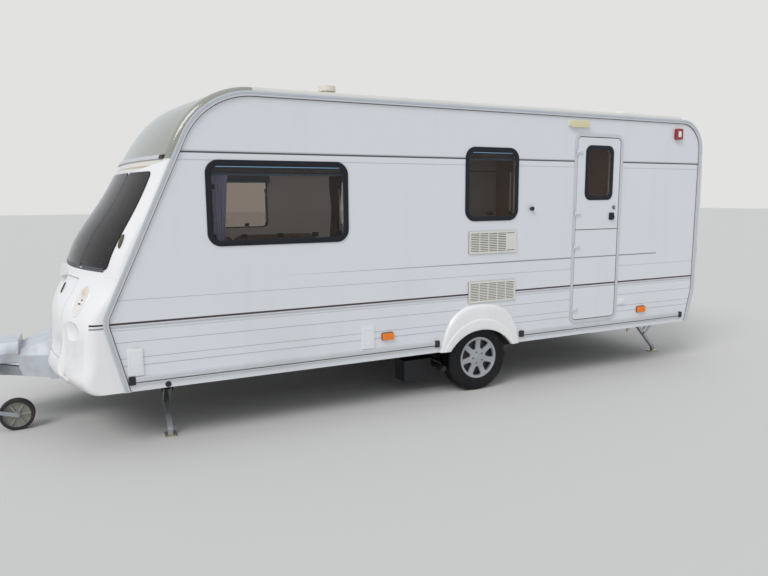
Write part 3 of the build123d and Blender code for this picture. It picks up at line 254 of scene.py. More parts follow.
def tube(path, radius, steps=12):
    """A round tube along a path: each ring is radius (u cos t + v sin t), u and v square to the path."""
    path = np.array(path, float)
    ahead = np.gradient(path, axis=0)
    ahead /= np.linalg.norm(ahead, axis=1)[:, None]
    helper = np.array([0.0, 0.0, 1.0]) if np.abs(ahead[:, 2]).max() < 0.95 else np.array([0.31, 0.95, 0.0])
    u = np.cross(helper, ahead)
    u /= np.linalg.norm(u, axis=1)[:, None]
    v = np.cross(ahead, u)
    t = np.arange(steps) * 2 * math.pi / steps
    ring = u[:, None] * np.cos(t)[None, :, None] + v[:, None] * np.sin(t)[None, :, None]
    return grid_shape(path[:, None] + radius * ring, wrap_columns=True, cap_rows=True)


# Nodes of a material

def feed(tree, socket, value):
    if isinstance(value, bpy.types.NodeSocket):
        tree.links.new(value, socket)
    else:
        socket.default_value = value


def add(tree, kind, inputs=None, **settings):
    """A node of one kind, its properties set and its sockets fed by values or by other sockets."""
    node = tree.nodes.new(kind)
    for name, value in settings.items():
        setattr(node, name, value)
    for name, value in (inputs or {}).items():
        feed(tree, node.inputs[name], value)
    return node


def maths(tree, operation, *values, clamp=False):
    node = add(tree, "ShaderNodeMath", dict(enumerate(values)), operation=operation, use_clamp=clamp)
    return node.outputs[0]


def blend_colour(tree, factor, first, second, mode="MIX"):
    node = add(tree, "ShaderNodeMix", data_type="RGBA", blend_type=mode)
    feed(tree, node.inputs[0], factor)
    feed(tree, node.inputs[6], first)
    feed(tree, node.inputs[7], second)
    return node.outputs[2]


def remap(tree, value, low, high, out_low=0.0, out_high=1.0):
    node = add(tree, "ShaderNodeMapRange", {0: value, 1: low, 2: high, 3: out_low, 4: out_high},
               interpolation_type="SMOOTHSTEP")
    return node.outputs[0]


def noise(tree, vector, scale, detail=3.0, stretch=(1, 1, 1)):
    if stretch != (1, 1, 1):
        vector = add(tree, "ShaderNodeMapping", {"Vector": vector, "Scale": stretch}).outputs[0]
    node = add(tree, "ShaderNodeTexNoise", {"Vector": vector, "Scale": scale, "Detail": detail})
    return node.outputs["Fac"]


def place(tree):
    return add(tree, "ShaderNodeTexCoord").outputs["Object"]


def group(name, inputs, outputs):
    """An empty shader node group with named inputs, their defaults, and named outputs."""
    tree = bpy.data.node_groups.new(name, "ShaderNodeTree")
    for label, kind, default in inputs:
        tree.interface.new_socket(label, in_out="INPUT", socket_type=kind).default_value = default
    for label, kind in outputs:
        tree.interface.new_socket(label, in_out="OUTPUT", socket_type=kind)
    return tree, tree.nodes.new("NodeGroupInput").outputs, tree.nodes.new("NodeGroupOutput").inputs


def srgb(r, g, b):
    """A colour read off a picture, 0 to 255, as the linear colour that a node takes."""
    c = np.array([r, g, b]) / 255
    linear = np.where(c <= 0.04045, c / 12.92, ((c + 0.055) / 1.055) ** 2.4)
    return (*linear.tolist(), 1.0)


COLOUR, NUMBER, VECTOR = "NodeSocketColor", "NodeSocketFloat", "NodeSocketVector"


def make_weathering():
    """Grime in broad patches and in streaks that run down, thicker towards the ground."""
    tree, given, out = group(
        "weathering",
        [("Colour", COLOUR, (0.8, 0.8, 0.8, 1)), ("Grime colour", COLOUR, (0.2, 0.17, 0.12, 1)),
         ("Grime", NUMBER, 0.2), ("Streaks", NUMBER, 0.2), ("Patch size", NUMBER, 1.0),
         ("Roughness", NUMBER, 0.3)],
        [("Colour", COLOUR), ("Roughness", NUMBER), ("Mask", NUMBER)])
    where = place(tree)
    patches = remap(tree, noise(tree, where, given["Patch size"], 6.0), 0.45, 0.8)
    streaks = remap(tree, noise(tree, where, 7.0, 4.0, (1, 1, 0.09)), 0.52, 0.85)
    height = add(tree, "ShaderNodeSeparateXYZ", {0: where}).outputs["Z"]
    low_down = remap(tree, height, 0.2, 1.0, 1.0, 0.25)
    patches = maths(tree, "MULTIPLY", maths(tree, "MULTIPLY", patches, low_down), given["Grime"])
    streaks = maths(tree, "MULTIPLY", streaks, given["Streaks"])
    mask = maths(tree, "ADD", patches, streaks, clamp=True)
    feed(tree, out["Colour"], blend_colour(tree, mask, given["Colour"], given["Grime colour"]))
    feed(tree, out["Roughness"], maths(tree, "MULTIPLY_ADD", mask, 0.5, given["Roughness"]))
    feed(tree, out["Mask"], mask)
    return tree


def make_fine_relief():
    """The small unevenness of a moulded or painted surface, as a normal."""
    tree, given, out = group(
        "fine relief",
        [("Scale", NUMBER, 200.0), ("Strength", NUMBER, 0.1), ("Distance", NUMBER, 0.001)],
        [("Normal", VECTOR)])
    height = noise(tree, place(tree), given["Scale"], 2.0)
    bump = add(tree, "ShaderNodeBump", {"Strength": given["Strength"], "Distance": given["Distance"],
                                        "Height": height})
    feed(tree, out["Normal"], bump.outputs[0])
    return tree


def make_band():
    """A painted line: full within half its width of a height, soft over its blur, between two x values."""
    tree, given, out = group(
        "painted line",
        [("Place", VECTOR, (0, 0, 0)), ("Height", NUMBER, 1.0), ("Half width", NUMBER, 0.01),
         ("Blur", NUMBER, 0.001), ("From x", NUMBER, -9.0), ("To x", NUMBER, 9.0), ("Taper", NUMBER, 0.0)],
        [("Mask", NUMBER)])
    xyz = add(tree, "ShaderNodeSeparateXYZ", {0: given["Place"]}).outputs
    from_start = maths(tree, "SUBTRACT", xyz["X"], given["From x"])
    to_end = maths(tree, "SUBTRACT", given["To x"], xyz["X"])
    taper = maths(tree, "DIVIDE", from_start, maths(tree, "MAXIMUM", given["Taper"], 0.001), clamp=True)
    half = maths(tree, "MULTIPLY", given["Half width"], taper)
    off = maths(tree, "ABSOLUTE", maths(tree, "SUBTRACT", xyz["Z"], given["Height"]))
    inside = maths(tree, "DIVIDE", maths(tree, "SUBTRACT", half, off), given["Blur"])
    inside = maths(tree, "ADD", inside, 0.5, clamp=True)
    started = maths(tree, "GREATER_THAN", from_start, 0.0)
    ended = maths(tree, "GREATER_THAN", to_end, 0.0)
    feed(tree, out["Mask"], maths(tree, "MULTIPLY", inside, maths(tree, "MULTIPLY", started, ended)))
    return tree


WEATHERING = make_weathering()
RELIEF = make_fine_relief()
LINE = make_band()


def placed(tree, shader_group, **inputs):
    node = add(tree, "ShaderNodeGroup", node_tree=shader_group)
    for name, value in inputs.items():
        feed(tree, node.inputs[name.replace("_", " ")], value)
    return node.outputs


def material(name, colour, roughness=0.4, grime=0.15, streaks=0.1, grime_colour=(96, 84, 66), patch=1.6,
             relief=(220.0, 0.06, 0.001), **shader):
    """A weathered material: its colour and roughness vary with grime, and the rest is on the shader."""
    made = bpy.data.materials.new(name)
    made.use_nodes = True
    tree = made.node_tree
    bsdf = tree.nodes["Principled BSDF"]
    for socket, value in shader.items():
        bsdf.inputs[socket.replace("_", " ")].default_value = value
    worn = placed(tree, WEATHERING, Colour=srgb(*colour), Grime_colour=srgb(*grime_colour), Grime=grime,
                  Streaks=streaks, Patch_size=patch, Roughness=roughness)
    feed(tree, bsdf.inputs["Base Color"], worn["Colour"])
    feed(tree, bsdf.inputs["Roughness"], worn["Roughness"])
    if relief:
        scale, strength, distance = relief
        normal = placed(tree, RELIEF, Scale=scale, Strength=strength, Distance=distance)["Normal"]
        feed(tree, bsdf.inputs["Normal"], normal)
    return made


def shown_colour(made):
    """The tree of a material, the base colour's socket and what feeds it."""
    tree = made.node_tree
    base = tree.nodes["Principled BSDF"].inputs["Base Color"]
    return tree, base, base.links[0].from_socket


def lined_paint(name, lines, **settings):
    """White paint with the coloured lines of the side, laid in order over the weathered colour."""
    made = material(name, WALL_WHITE, **settings)
    tree, base, shown = shown_colour(made)
    where = place(tree)
    for height, half, blur, colour, strength, *reach in lines:
        mask = placed(tree, LINE, Place=where, Height=height, Half_width=half, Blur=blur,
                      **dict(zip(("From_x", "To_x", "Taper"), reach)))["Mask"]
        shown = blend_colour(tree, maths(tree, "MULTIPLY", mask, strength), shown, srgb(*colour))
    feed(tree, base, shown)
    return made


def inside(tree, value, low, high):
    """1 between two bounds of a value and 0 outside them."""
    above = maths(tree, "GREATER_THAN", value, low)
    return maths(tree, "MULTIPLY", above, maths(tree, "LESS_THAN", value, high))


def recoloured(made, patches):
    """Other colours on boxed parts. Columns: colour, then (axis, low, high) bounds in metres."""
    tree, base, shown = shown_colour(made)
    xyz = add(tree, "ShaderNodeSeparateXYZ", {0: place(tree)}).outputs
    for colour, bounds in patches:
        mask = 1.0
        for axis, low, high in bounds:
            mask = maths(tree, "MULTIPLY", mask, inside(tree, xyz[axis], low, high))
        shown = blend_colour(tree, mask, shown, srgb(*colour))
    feed(tree, base, shown)
    return made


def two_part(made, centre, radius, colour):
    """A second colour inside a radius of a level axis across the caravan."""
    tree, base, shown = shown_colour(made)
    xyz = add(tree, "ShaderNodeSeparateXYZ", {0: place(tree)}).outputs
    squares = []
    for axis, middle in zip("XZ", centre):
        off = maths(tree, "SUBTRACT", xyz[axis], middle)
        squares.append(maths(tree, "MULTIPLY", off, off))
    within = maths(tree, "LESS_THAN", maths(tree, "SQRT", maths(tree, "ADD", *squares)), radius)
    feed(tree, base, blend_colour(tree, within, shown, srgb(*colour)))
    return made


# Finishes of the body

PAINT = dict(roughness=0.32, grime=0.10, streaks=0.05, relief=(90.0, 0.05, 0.002), Coat_Weight=0.25,
             Coat_Roughness=0.12)
MOULDED = dict(roughness=0.26, grime=0.22, streaks=0.12, relief=(30.0, 0.05, 0.004), Coat_Weight=0.3,
               Coat_Roughness=0.1)
# WALL_WHITE is the side's white paint, toned darker and bluer than its own white as painted skylight shade
WALL_WHITE, CHARCOAL, MAROON = (225, 227, 232), (46, 42, 44), (52, 24, 32)
LINE_GREY, SHADE_GREY = (120, 122, 126), (150, 152, 158)
# Columns: height, half width, blur, colour, strength, then from x, to x and taper of a line that ends
SIDE_LINES = [
    (2.0330, 0.0060, 0.0020, CHARCOAL, 0.95),
    (2.0430, 0.0040, 0.0060, SHADE_GREY, 0.55),
    (1.9800, 0.0015, 0.0020, SHADE_GREY, 0.60),
    (1.1450, 0.0055, 0.0030, LINE_GREY, 0.85, at(-1.746), at(2.100), 2.2),
    (1.0400, 0.0015, 0.0020, SHADE_GREY, 0.55),
    (0.8820, 0.0075, 0.0020, MAROON, 0.97),
    (0.8600, 0.0080, 0.0120, SHADE_GREY, 0.60),
    (0.8380, 0.0040, 0.0060, SHADE_GREY, 0.40),
    (0.7520, 0.0020, 0.0030, SHADE_GREY, 0.60),
    (0.6400, 0.0020, 0.0030, SHADE_GREY, 0.60),
    (0.5850, 0.0020, 0.0030, SHADE_GREY, 0.70),
]
DOOR_LINE_HEIGHTS = (1.1450, 0.8820, 0.8600)
GUTTER_Z, BROW_TAPE_Z = 1.986, (1.932, 1.946)
side_paint = lined_paint("side_paint", SIDE_LINES, **PAINT)
door_paint = lined_paint("door_paint", [row for row in SIDE_LINES if row[0] in DOOR_LINE_HEIGHTS], **PAINT)
gelcoat = material("gelcoat_white", (238, 238, 238), grime_colour=(170, 140, 105), **MOULDED)
# The drawbar cover is white plastic; its blue-grey here is painted shade, with real grime over it
shaded_cover_plastic = material("shaded_cover_plastic", (196, 201, 208), roughness=0.35, grime=0.5, patch=10.0,
                         grime_colour=(150, 128, 104))
roof_paint = material("roof_paint", (214, 213, 206), roughness=0.45, grime=0.45, streaks=0.1, patch=2.5)
# The brow shows its own pale colour below the gutter, with a brown strip over the front window; elsewhere
# its grey-green base is painted reflection of trees and sky in the gloss
brow_gloss = recoloured(
    material("brow_gloss", (150, 152, 142), roughness=0.12, grime=0.2, streaks=0.15, Coat_Weight=0.6,
             Coat_Roughness=0.05),
    [((222, 219, 210), [("Z", 1.20, GUTTER_Z), ("X", -9, at(-2.2))]),
     ((190, 164, 136), [("Z", *BROW_TAPE_Z), ("X", -9, at(-2.2))])])
under_board = material("under_board", (44, 40, 36), roughness=0.8, grime=0.4)
inner_board = material("inner_board", (176, 152, 120), roughness=0.6, grime=0.1)
maroon_tape = material("maroon_tape", MAROON, roughness=0.3, grime=0.05)
grey_tape = material("grey_tape", SHADE_GREY, roughness=0.3, grime=0.05)
dish_stain = material("dish_stain", (230, 228, 224), roughness=0.4, grime=3.6, streaks=0.4, patch=9.0,
                      grime_colour=(206, 164, 124))

# Metal

METAL = dict(roughness=0.42, grime=0.35, streaks=0.15, patch=6.0, relief=(140.0, 0.15, 0.001), Metallic=1.0)
SKIRT_SHADE_Z, FOOT_PLATE_Z = (0.4640, 0.4675), 0.0135
# A dark painted shade line runs along the foot of the skirt rails, where their rounded face turns under
rail_metal = recoloured(material("rail_metal", (216, 218, 222), roughness=0.32, grime=0.12, streaks=0.1,
                                 Metallic=0.55),
                        [((60, 62, 70), [("X", at(-2.85), at(2.47)), ("Z", *SKIRT_SHADE_Z)])])
galvanised = material("galvanised", (176, 182, 188), **METAL)
# Under the floor the metal is painted dark as shade; it keeps its bright finish only on the drawbar
shaded_under_metal = recoloured(material("shaded_under_metal", (176, 182, 188), **METAL),
                         [((40, 40, 42), [("X", at(-2.85), 9)])])
leg_metal = recoloured(material("leg_metal", (184, 190, 196), roughness=0.36, grime=0.3, streaks=0.15,
                                patch=6.0, relief=(140.0, 0.15, 0.001), Metallic=0.9),
                       [((208, 200, 178), [("Z", -1, FOOT_PLATE_Z)])])
dark_metal = material("dark_metal", (52, 53, 56), roughness=0.5, grime=0.3, patch=5.0, Metallic=0.6)
silver_paint = material("silver_paint", (176, 180, 184), roughness=0.28, grime=0.15, patch=9.0,
                        Metallic=0.55, Coat_Weight=0.4)

# Rubber and plastic

JOCKEY_LOW, JOCKEY_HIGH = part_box("jockey_wheel")
JOCKEY_MIDDLE = ((JOCKEY_LOW.x + JOCKEY_HIGH.x) / 2, (JOCKEY_LOW.z + JOCKEY_HIGH.z) / 2)
JOCKEY_RIM = 0.093
VENT_SHADE_DEPTH = 0.0035
VENT_SHADE_Y = -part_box("fridge_vents")[0].y - VENT_SHADE_DEPTH
# Black rubber tinted blue: its own black with a painted bluish sheen
black_rubber = material("black_rubber", (16, 21, 30), roughness=0.42, grime=0.06, streaks=0.05,
                        Specular_IOR_Level=0.35)
# Near-black tyre rubber with a slight blue tint as painted sheen
tyre_rubber = material("tyre_rubber", (14, 16, 20), roughness=0.6, grime=0.25, Specular_IOR_Level=0.3,
                       grime_colour=(98, 92, 84), patch=6.0)
jockey_rubber = two_part(material("jockey_rubber", (38, 38, 40), roughness=0.7, grime=0.4, patch=14.0),
                         JOCKEY_MIDDLE, JOCKEY_RIM, (150, 148, 140))
black_plastic = material("black_plastic", (34, 35, 38), roughness=0.5, grime=0.2)
white_plastic = material("white_plastic", (232, 234, 236), roughness=0.35, grime=0.08, streaks=0.04)
ivory_plastic = material("ivory_plastic", (226, 222, 206), roughness=0.42)
# Painted shade in the vents' slots: the plastic more than 3.5 mm in from its outer face is dark
vent_plastic = recoloured(material("vent_plastic", (224, 222, 214), roughness=0.42, grime=0.12),
                          [((58, 54, 48), [("Y", -VENT_SHADE_Y, VENT_SHADE_Y)])])
pane_seal = material("pane_seal", (74, 78, 84), roughness=0.5, grime=0.3, patch=14.0)
# Sealant colour, dark also as painted shadow along the rail's edge
sealant_and_shadow = material("sealant_and_shadow", (112, 104, 100), roughness=0.7, grime=0.4, patch=12.0)
# White rail insert, tinted blue as a painted reflection of the sky
insert_strip = material("insert_strip", (206, 214, 226), grime=0.35, patch=8.0)
catch_olive = material("catch_olive", (92, 84, 62), roughness=0.5, grime=0.2)
stay_white = material("stay_white", (190, 196, 204), grime=0.1)
# Pale blue painted reflection of the sky, for the blinds' lower edges and the panes' top bevels
sky_reflection_blue = material("sky_reflection_blue", (112, 158, 190), roughness=0.3, grime=0.1)
blind_grey = material("blind_grey", (104, 106, 118), roughness=0.5, grime=0.1)
plate_white = material("plate_white", (236, 236, 232), roughness=0.3, grime=0.08)
smoked_dome = material("smoked_dome", (58, 52, 46), roughness=0.12, grime=0.25, Coat_Weight=0.5)
opal_dome = material("opal_dome", (226, 226, 218), roughness=0.25, grime=0.35)

# Lamps and glass

RED_LENS = dict(roughness=0.15, grime=0.08, streaks=0.05, Coat_Weight=0.6)
REAR_LAMPS = ("X", at(2.60), 9)
cream_lens = material("cream_lens", (226, 217, 178), roughness=0.3, grime=0.2, streaks=0.12)
amber_lens = material("amber_lens", (246, 132, 14), roughness=0.18, grime=0.08, streaks=0.05,
                      Coat_Weight=0.6)
red_lens = material("red_lens", (150, 18, 22), **RED_LENS)
# The clear middle of the end marker, then the amber and clear bands and the dark joints of the rear lamps
lamp_lens = recoloured(
    material("lamp_lens", (150, 18, 22), **RED_LENS),
    [((236, 236, 232), [("X", at(2.296), at(2.337)), ("Z", 2.292, 2.348)]),
     ((226, 120, 20), [REAR_LAMPS, ("Z", 1.040, 1.098)]),
     ((228, 228, 224), [REAR_LAMPS, ("Z", 0.905, 0.952)]),
     ((30, 28, 30), [REAR_LAMPS, ("Z", 1.098, 1.102)]),
     ((30, 28, 30), [REAR_LAMPS, ("Z", 0.952, 0.956)])])
# Clear brown acrylic on the sides, and a darker tint on the front panes
glass = recoloured(
    material("tinted_acrylic", (192, 184, 178), roughness=0.02, grime=0.1, streaks=0.06, patch=2.0,
             grime_colour=(164, 154, 142), relief=None, Transmission_Weight=1.0, IOR=1.3),
    [((84, 77, 74), [("X", -9, at(-2.40))])])

# Inside

CLOTH_RELIEF = (600.0, 0.4, 0.001)
laminate = material("laminate", (168, 128, 88), grime=0.1)
upholstery = material("upholstery", (116, 100, 92), roughness=0.9, grime=0.5, patch=22.0,
                      grime_colour=(70, 72, 96), relief=(420.0, 0.5, 0.002))
# Blue cloth made paler than its own colour: painted light shining through it from the window
curtain_cloth = material("curtain_cloth", (206, 216, 255), roughness=0.9, grime=0.25, patch=9.0,
                         grime_colour=(84, 86, 170), relief=CLOTH_RELIEF)
curtain_brown = material("curtain_brown", (84, 76, 76), roughness=0.9, grime=0.3, patch=9.0,
                         grime_colour=(56, 50, 52), relief=CLOTH_RELIEF)

# Columns: finish, nodes of the frame that it goes on
FRAME_FINISHES = [
    (side_paint, "side_wall_near side_wall_off"),
    (door_paint, "door_upper door_lower"),
    (gelcoat, "front_lower_panel front_window_panel rear_panel gas_locker_lid wheel_spats"),
    (shaded_cover_plastic, "drawbar_cover"),
    (roof_paint, "roof_panel"),
    (brow_gloss, "front_brow_panel"),
    (under_board, "floor_panel"),
    (inner_board, "front_bulkhead"),
    (rail_metal, "side_rails door_frame"),
    (black_rubber, "window_frames door_window_frame"),
    (black_plastic, "skirt_rail_ends wheel_boxes door_handle handbrake_lever black_fittings"),
    (jockey_rubber, "jockey_wheel"),
    (glass, "window_panes door_window_pane"),
    (white_plastic, "service_flaps rooflight_rims"),
    (vent_plastic, "fridge_vents"),
    (ivory_plastic, "waste_outlet roof_flue"),
    (cream_lens, "awning_lamp"),
    (amber_lens, "amber_lamps"),
    (lamp_lens, "red_lamps"),
    (shaded_under_metal, "chassis_frame axle_beam steady_brackets"),
    (galvanised, "jockey_outer_tube jockey_clamp jockey_inner_tube jockey_fork"),
    (dark_metal, "coupling_head mover_units"),
    (silver_paint, "wheel_near wheel_off"),
    (tyre_rubber, "tyre_near tyre_off"),
    (laminate, "cabin_furniture"),
    (smoked_dome, "rooflight_lid_middle"),
    (opal_dome, "rooflight_lid_rear"),
]
for prefix, finish in (("steady_stay", galvanised), ("steady_leg", leg_metal)):
    FRAME_FINISHES.append((finish, " ".join(n for n in NODES if n.startswith(prefix))))
for finish, names in FRAME_FINISHES:
    for node_name in names.split():
        NODES[node_name].data.materials.clear()
        NODES[node_name].data.materials.append(finish)


# Tyres: the profile turned about the axle, its tread cut by grooves round and across

TREAD_BLOCKS = 62
GROOVE_DEPTH, GAP_DEPTH = 0.006, 0.0035
SHOULDER_RADIUS = 0.280
TREAD_SLANT = 0.9
TREAD_ROWS = [-0.0610, -0.0400, -0.0395, -0.0325, -0.0320, -0.0035, -0.0030, 0.0030, 0.0035, 0.0320,
              0.0325, 0.0395, 0.0400, 0.0610]
TREAD_DEEP = [0, 0, 1, 1, 0, 0, 1, 1, 0, 0, 1, 1, 0, 0]
SIDEWALL = [(0.1705, 0.0705), (0.1760, 0.0775), (0.1860, 0.0815), (0.1875, 0.0828), (0.1930, 0.0830),
            (0.1945, 0.0826), (0.2150, 0.0845), (0.2300, 0.0850), (0.2310, 0.0843), (0.2330, 0.0843),
            (0.2340, 0.0849), (0.2520, 0.0845), (0.2650, 0.0828), (0.2780, 0.0788), (0.2880, 0.0735),
            (0.2945, 0.0672)]


def tyre_shape(side):
    """Radius = profile radius, less a groove's depth on the grooved rows and in the gaps between blocks."""
    rows = [(r, -w) for r, w in SIDEWALL]
    rows += [(TYRE_RADIUS - GROOVE_DEPTH * deep, w) for w, deep in zip(TREAD_ROWS, TREAD_DEEP)]
    rows += [(r, w) for r, w in SIDEWALL[::-1]]
    rows = np.array(rows)
    phase = np.array([0.0, 0.12, 0.14, 0.86, 0.88])
    turn = (np.arange(TREAD_BLOCKS)[:, None] + phase[None, :]).ravel() * 2 * math.pi / TREAD_BLOCKS
    gap = np.tile([1.0, 1.0, 0.0, 0.0, 1.0], TREAD_BLOCKS)[None, :]
    shoulder = ((rows[:, :1] > SHOULDER_RADIUS) & (np.abs(rows[:, 1:]) > 0.004)).astype(float)
    radius = rows[:, :1] - GAP_DEPTH * gap * shoulder * (rows[:, :1] > TYRE_RADIUS - 0.7 * GROOVE_DEPTH)
    angle = turn[None, :] + TREAD_SLANT * np.abs(rows[:, 1:])
    x = AXLE_X + radius * np.cos(angle)
    z = WHEEL_Z + radius * np.sin(angle)
    y = side * (-WHEEL_Y + rows[:, 1:]) + 0 * angle
    return grid_shape(np.stack([x, y, z], -1), wrap_columns=True)


# Wheels: a trim with seven broad spokes over a dark backing

# Columns: radius, distance out from the wheel's middle
TRIM_PROFILE = [(0.000, 0.0760), (0.058, 0.0760), (0.080, 0.0722), (0.112, 0.0692), (0.150, 0.0722),
                (0.166, 0.0776)]
RIM_SECTION = [(0.158, 0.0560), (0.166, 0.0776), (0.174, 0.0815), (0.180, 0.0838), (0.1845, 0.0832),
               (0.186, 0.0812), (0.186, 0.0775), (0.171, 0.0735), (0.170, 0.0690), (0.170, -0.0700),
               (0.160, -0.0700), (0.158, 0.0560)]
HUB_SECTION = [(0.0, 0.0755), (0.030, 0.0755), (0.034, 0.0700), (0.034, -0.0620), (0.018, -0.0620),
               (0.018, 0.0300)]
BACK_SECTION = [(0.030, 0.030), (0.164, 0.030), (0.164, 0.036), (0.030, 0.036)]
BACKING_SECTION = [(0.034, 0.038), (0.070, 0.044), (0.110, 0.042), (0.154, 0.038), (0.1575, 0.046),
                   (0.1575, 0.062)]
CAP_SECTION = [(0.0, 0.0812), (0.0215, 0.0812), (0.0225, 0.0803), (0.0240, 0.0803), (0.0250, 0.0810),
               (0.0290, 0.0806), (0.0325, 0.0790), (0.0335, 0.0765), (0.0335, 0.0750)]
VALVE_SECTION = [(0.0, 0.060), (0.0040, 0.060), (0.0040, 0.080), (0.0, 0.0805)]
# A flat dark disc at each nut hole of the trim: painted shade in the hole
NUT_HOLE_SHADE = [(0.0, 0.0764), (0.0070, 0.0766), (0.0082, 0.0750)]
SPOKES, SPOKE_AT = 7, math.radians(88)
# An opening between spokes: from and to radius, half width at its inner and at its outer end
OPENING = (0.082, 0.1640, 0.013, 0.0500)
OPENING_WALL, OPENING_SLANT = 0.016, 0.004
# Across a spoke, as shares of its half width, and how far its face is eased there
SPOKE_ACROSS = [-1.0, -0.97, -0.9, -0.45, 0.0, 0.45, 0.9, 0.97, 1.0]
SPOKE_EASE = [0.0016, 0.0006, 0.0, 0.0003, 0.0005, 0.0003, 0.0, 0.0006, 0.0016]
NUTS, NUT_CIRCLE, NUT_AT = 5, 0.052, math.radians(39)
VALVE_AT = (0.150, 0.004)


def opening_half(radius):
    """Half width of an opening: a straight taper times (1 - |2s - 1|^5)^(1/5), s from inner to outer end."""
    low, high, narrow, wide = OPENING
    share = np.clip((radius - low) / (high - low), 0, 1)
    return (narrow + (wide - narrow) * share) * (1 - np.abs(2 * share - 1) ** 5) ** 0.2


def trim_point(middle, side, radius, angle, sink=0.0):
    """Centre + radius (cos a, sin a) in x and z, and out by the trim's profile at that radius."""
    out = np.interp(radius, *np.array(TRIM_PROFILE).T) - sink + 0 * angle
    return np.stack([middle[0] + radius * np.cos(angle), middle[1] + side * out,
                     middle[2] + radius * np.sin(angle)], -1)


def trim_shapes(middle, side):
    """Spokes between openings, with eased edges, and the walls that run inward round the openings."""
    in_opening = OPENING[0] + (OPENING[1] - OPENING[0]) * (1 - np.cos(np.linspace(0, math.pi, 25))) / 2
    rows = np.concatenate([[0.030, 0.045, 0.058, 0.070, 0.080], in_opening, [0.1645, 0.166]])[:, None]
    pitch = 2 * math.pi / SPOKES
    reach = pitch / 2 - np.arcsin(np.clip(opening_half(rows) / rows, 0, 0.99))
    across, ease = np.array([SPOKE_ACROSS]), np.array([SPOKE_EASE])
    open_here = (opening_half(rows) > 1e-6).astype(float)
    wall_rows = in_opening[:, None]
    wall_reach = pitch / 2 - np.arcsin(opening_half(wall_rows) / wall_rows)
    slant = np.array([[0.0, 0.3, 1.0]]) * OPENING_SLANT / wall_rows
    sink = np.array([[SPOKE_EASE[0], 0.0050, OPENING_WALL]])
    shapes = []
    for angle in SPOKE_AT + np.arange(SPOKES) * pitch:
        shapes.append(grid_shape(trim_point(middle, side, rows, angle + reach * across, ease * open_here)))
        for end in (-1, 1):
            turned_to = angle + end * (wall_reach + slant)
            shapes.append(grid_shape(trim_point(middle, side, wall_rows + 0 * sink, turned_to, sink)))
    return shapes


for side, end in SIDES:
    body = "wheel_" + end
    tyre = piece("tyre_detail_" + end, [tyre_shape(side)], tyre_rubber, body)
    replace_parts(tyre, "tyre_" + end)
    middle = (AXLE_X, -side * WHEEL_Y, WHEEL_Z)
    rim, hub, back = (turned(section, middle, OUT[side], steps) for section, steps in (
        (RIM_SECTION, 84), (HUB_SECTION, 40), (BACK_SECTION, 48)))
    trim = piece("wheel_trim_" + end, trim_shapes(middle, side) + [rim, hub, back], silver_paint,
                 body, 30)
    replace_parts(trim, "wheel_" + end)
    backing = turned(BACKING_SECTION, middle, OUT[side])
    piece("wheel_backing_" + end, [backing], black_plastic, body)
    # The dark discs at the nut holes are painted shade; the valve goes in the same piece
    nut_shades = []
    for angle in NUT_AT + np.arange(NUTS) * 2 * math.pi / NUTS:
        nut_middle = (middle[0] + NUT_CIRCLE * math.cos(angle), middle[1],
                      middle[2] + NUT_CIRCLE * math.sin(angle))
        nut_shades.append(turned(NUT_HOLE_SHADE, nut_middle, OUT[side], 20))
    valve_middle = (middle[0] + VALVE_AT[0], middle[1], middle[2] + VALVE_AT[1])
    valve = turned(VALVE_SECTION, valve_middle, OUT[side], 12)
    piece("wheel_nut_shades_" + end, nut_shades + [valve], black_plastic, body)
    piece("wheel_cap_" + end, [turned(CAP_SECTION, middle, OUT[side], 48)], silver_paint, body)

# Awning rails: a pale strip in the channel of each rail, a dark bead of sealant on its wall side
# that is also a painted shadow along the rail, and the return edge of the rear panel that closes the
# corner behind it

# Columns of a section: outward across the rail, proud of the wall
RAIL_INSERT = [(-0.0022, 0.0063), (0.0048, 0.0063), (0.0048, 0.0124), (-0.0022, 0.0124)]
RAIL_BEAD = [(-0.0235, 0.0002), (-0.0182, 0.0002), (-0.0182, 0.0016), (-0.0215, 0.0016)]
RAIL_BACK_X, RAIL_TOP_Z, RAIL_FOOT_Z = 3.584, 2.446, 0.404
RAIL_LINE = filleted([(at(-2.903), RAIL_FOOT_Z), (at(-3.020), 0.901), (at(-2.3127), RAIL_TOP_Z),
                      (at(2.658), RAIL_TOP_Z), (at(2.658), 0.740), (at(2.580), RAIL_FOOT_Z)],
                     [0.150, 0.542, 0.280, 0.120], steps=16)
RETURN_MIDDLE_Z, RETURN_HALF, RETURN_BOW = 1.50, 0.62, 0.026
RETURN_LAP_FRONT, RETURN_LAP_REAR = 0.004, 0.003
RETURN_DEPTHS = (0.0012, 0.0150)


def corner_return(side):
    """A strip whose rear edge bows by a share 1 - t^2, t from -1 at its foot to 1 at its top."""
    t = np.linspace(-1.0, 1.0, 41)[:, None]
    front = RAIL_BACK_X - RETURN_LAP_FRONT + 0 * t
    rear = RAIL_BACK_X + RETURN_LAP_REAR + RETURN_BOW * (1 - t ** 2)
    x = np.concatenate([front, rear, rear, front], 1)
    y = side * (WALL_Y - np.repeat(RETURN_DEPTHS, 2)[None, :]) + 0 * x
    z = RETURN_MIDDLE_Z + RETURN_HALF * t + 0 * x
    return grid_shape(np.stack([x, y, z], -1), wrap_columns=True, cap_rows=True)


for side, end in SIDES:
    piece("rail_insert_" + end, [wall_sweep(RAIL_LINE, RAIL_INSERT, side)], insert_strip)
    piece("rail_bead_shadow_" + end, [wall_sweep(RAIL_LINE, RAIL_BEAD, side)], sealant_and_shadow)
    piece("corner_return_" + end, [corner_return(side)], gelcoat)

# Lounge: stuffed seats and backs, and pleated curtains at the window of the door side

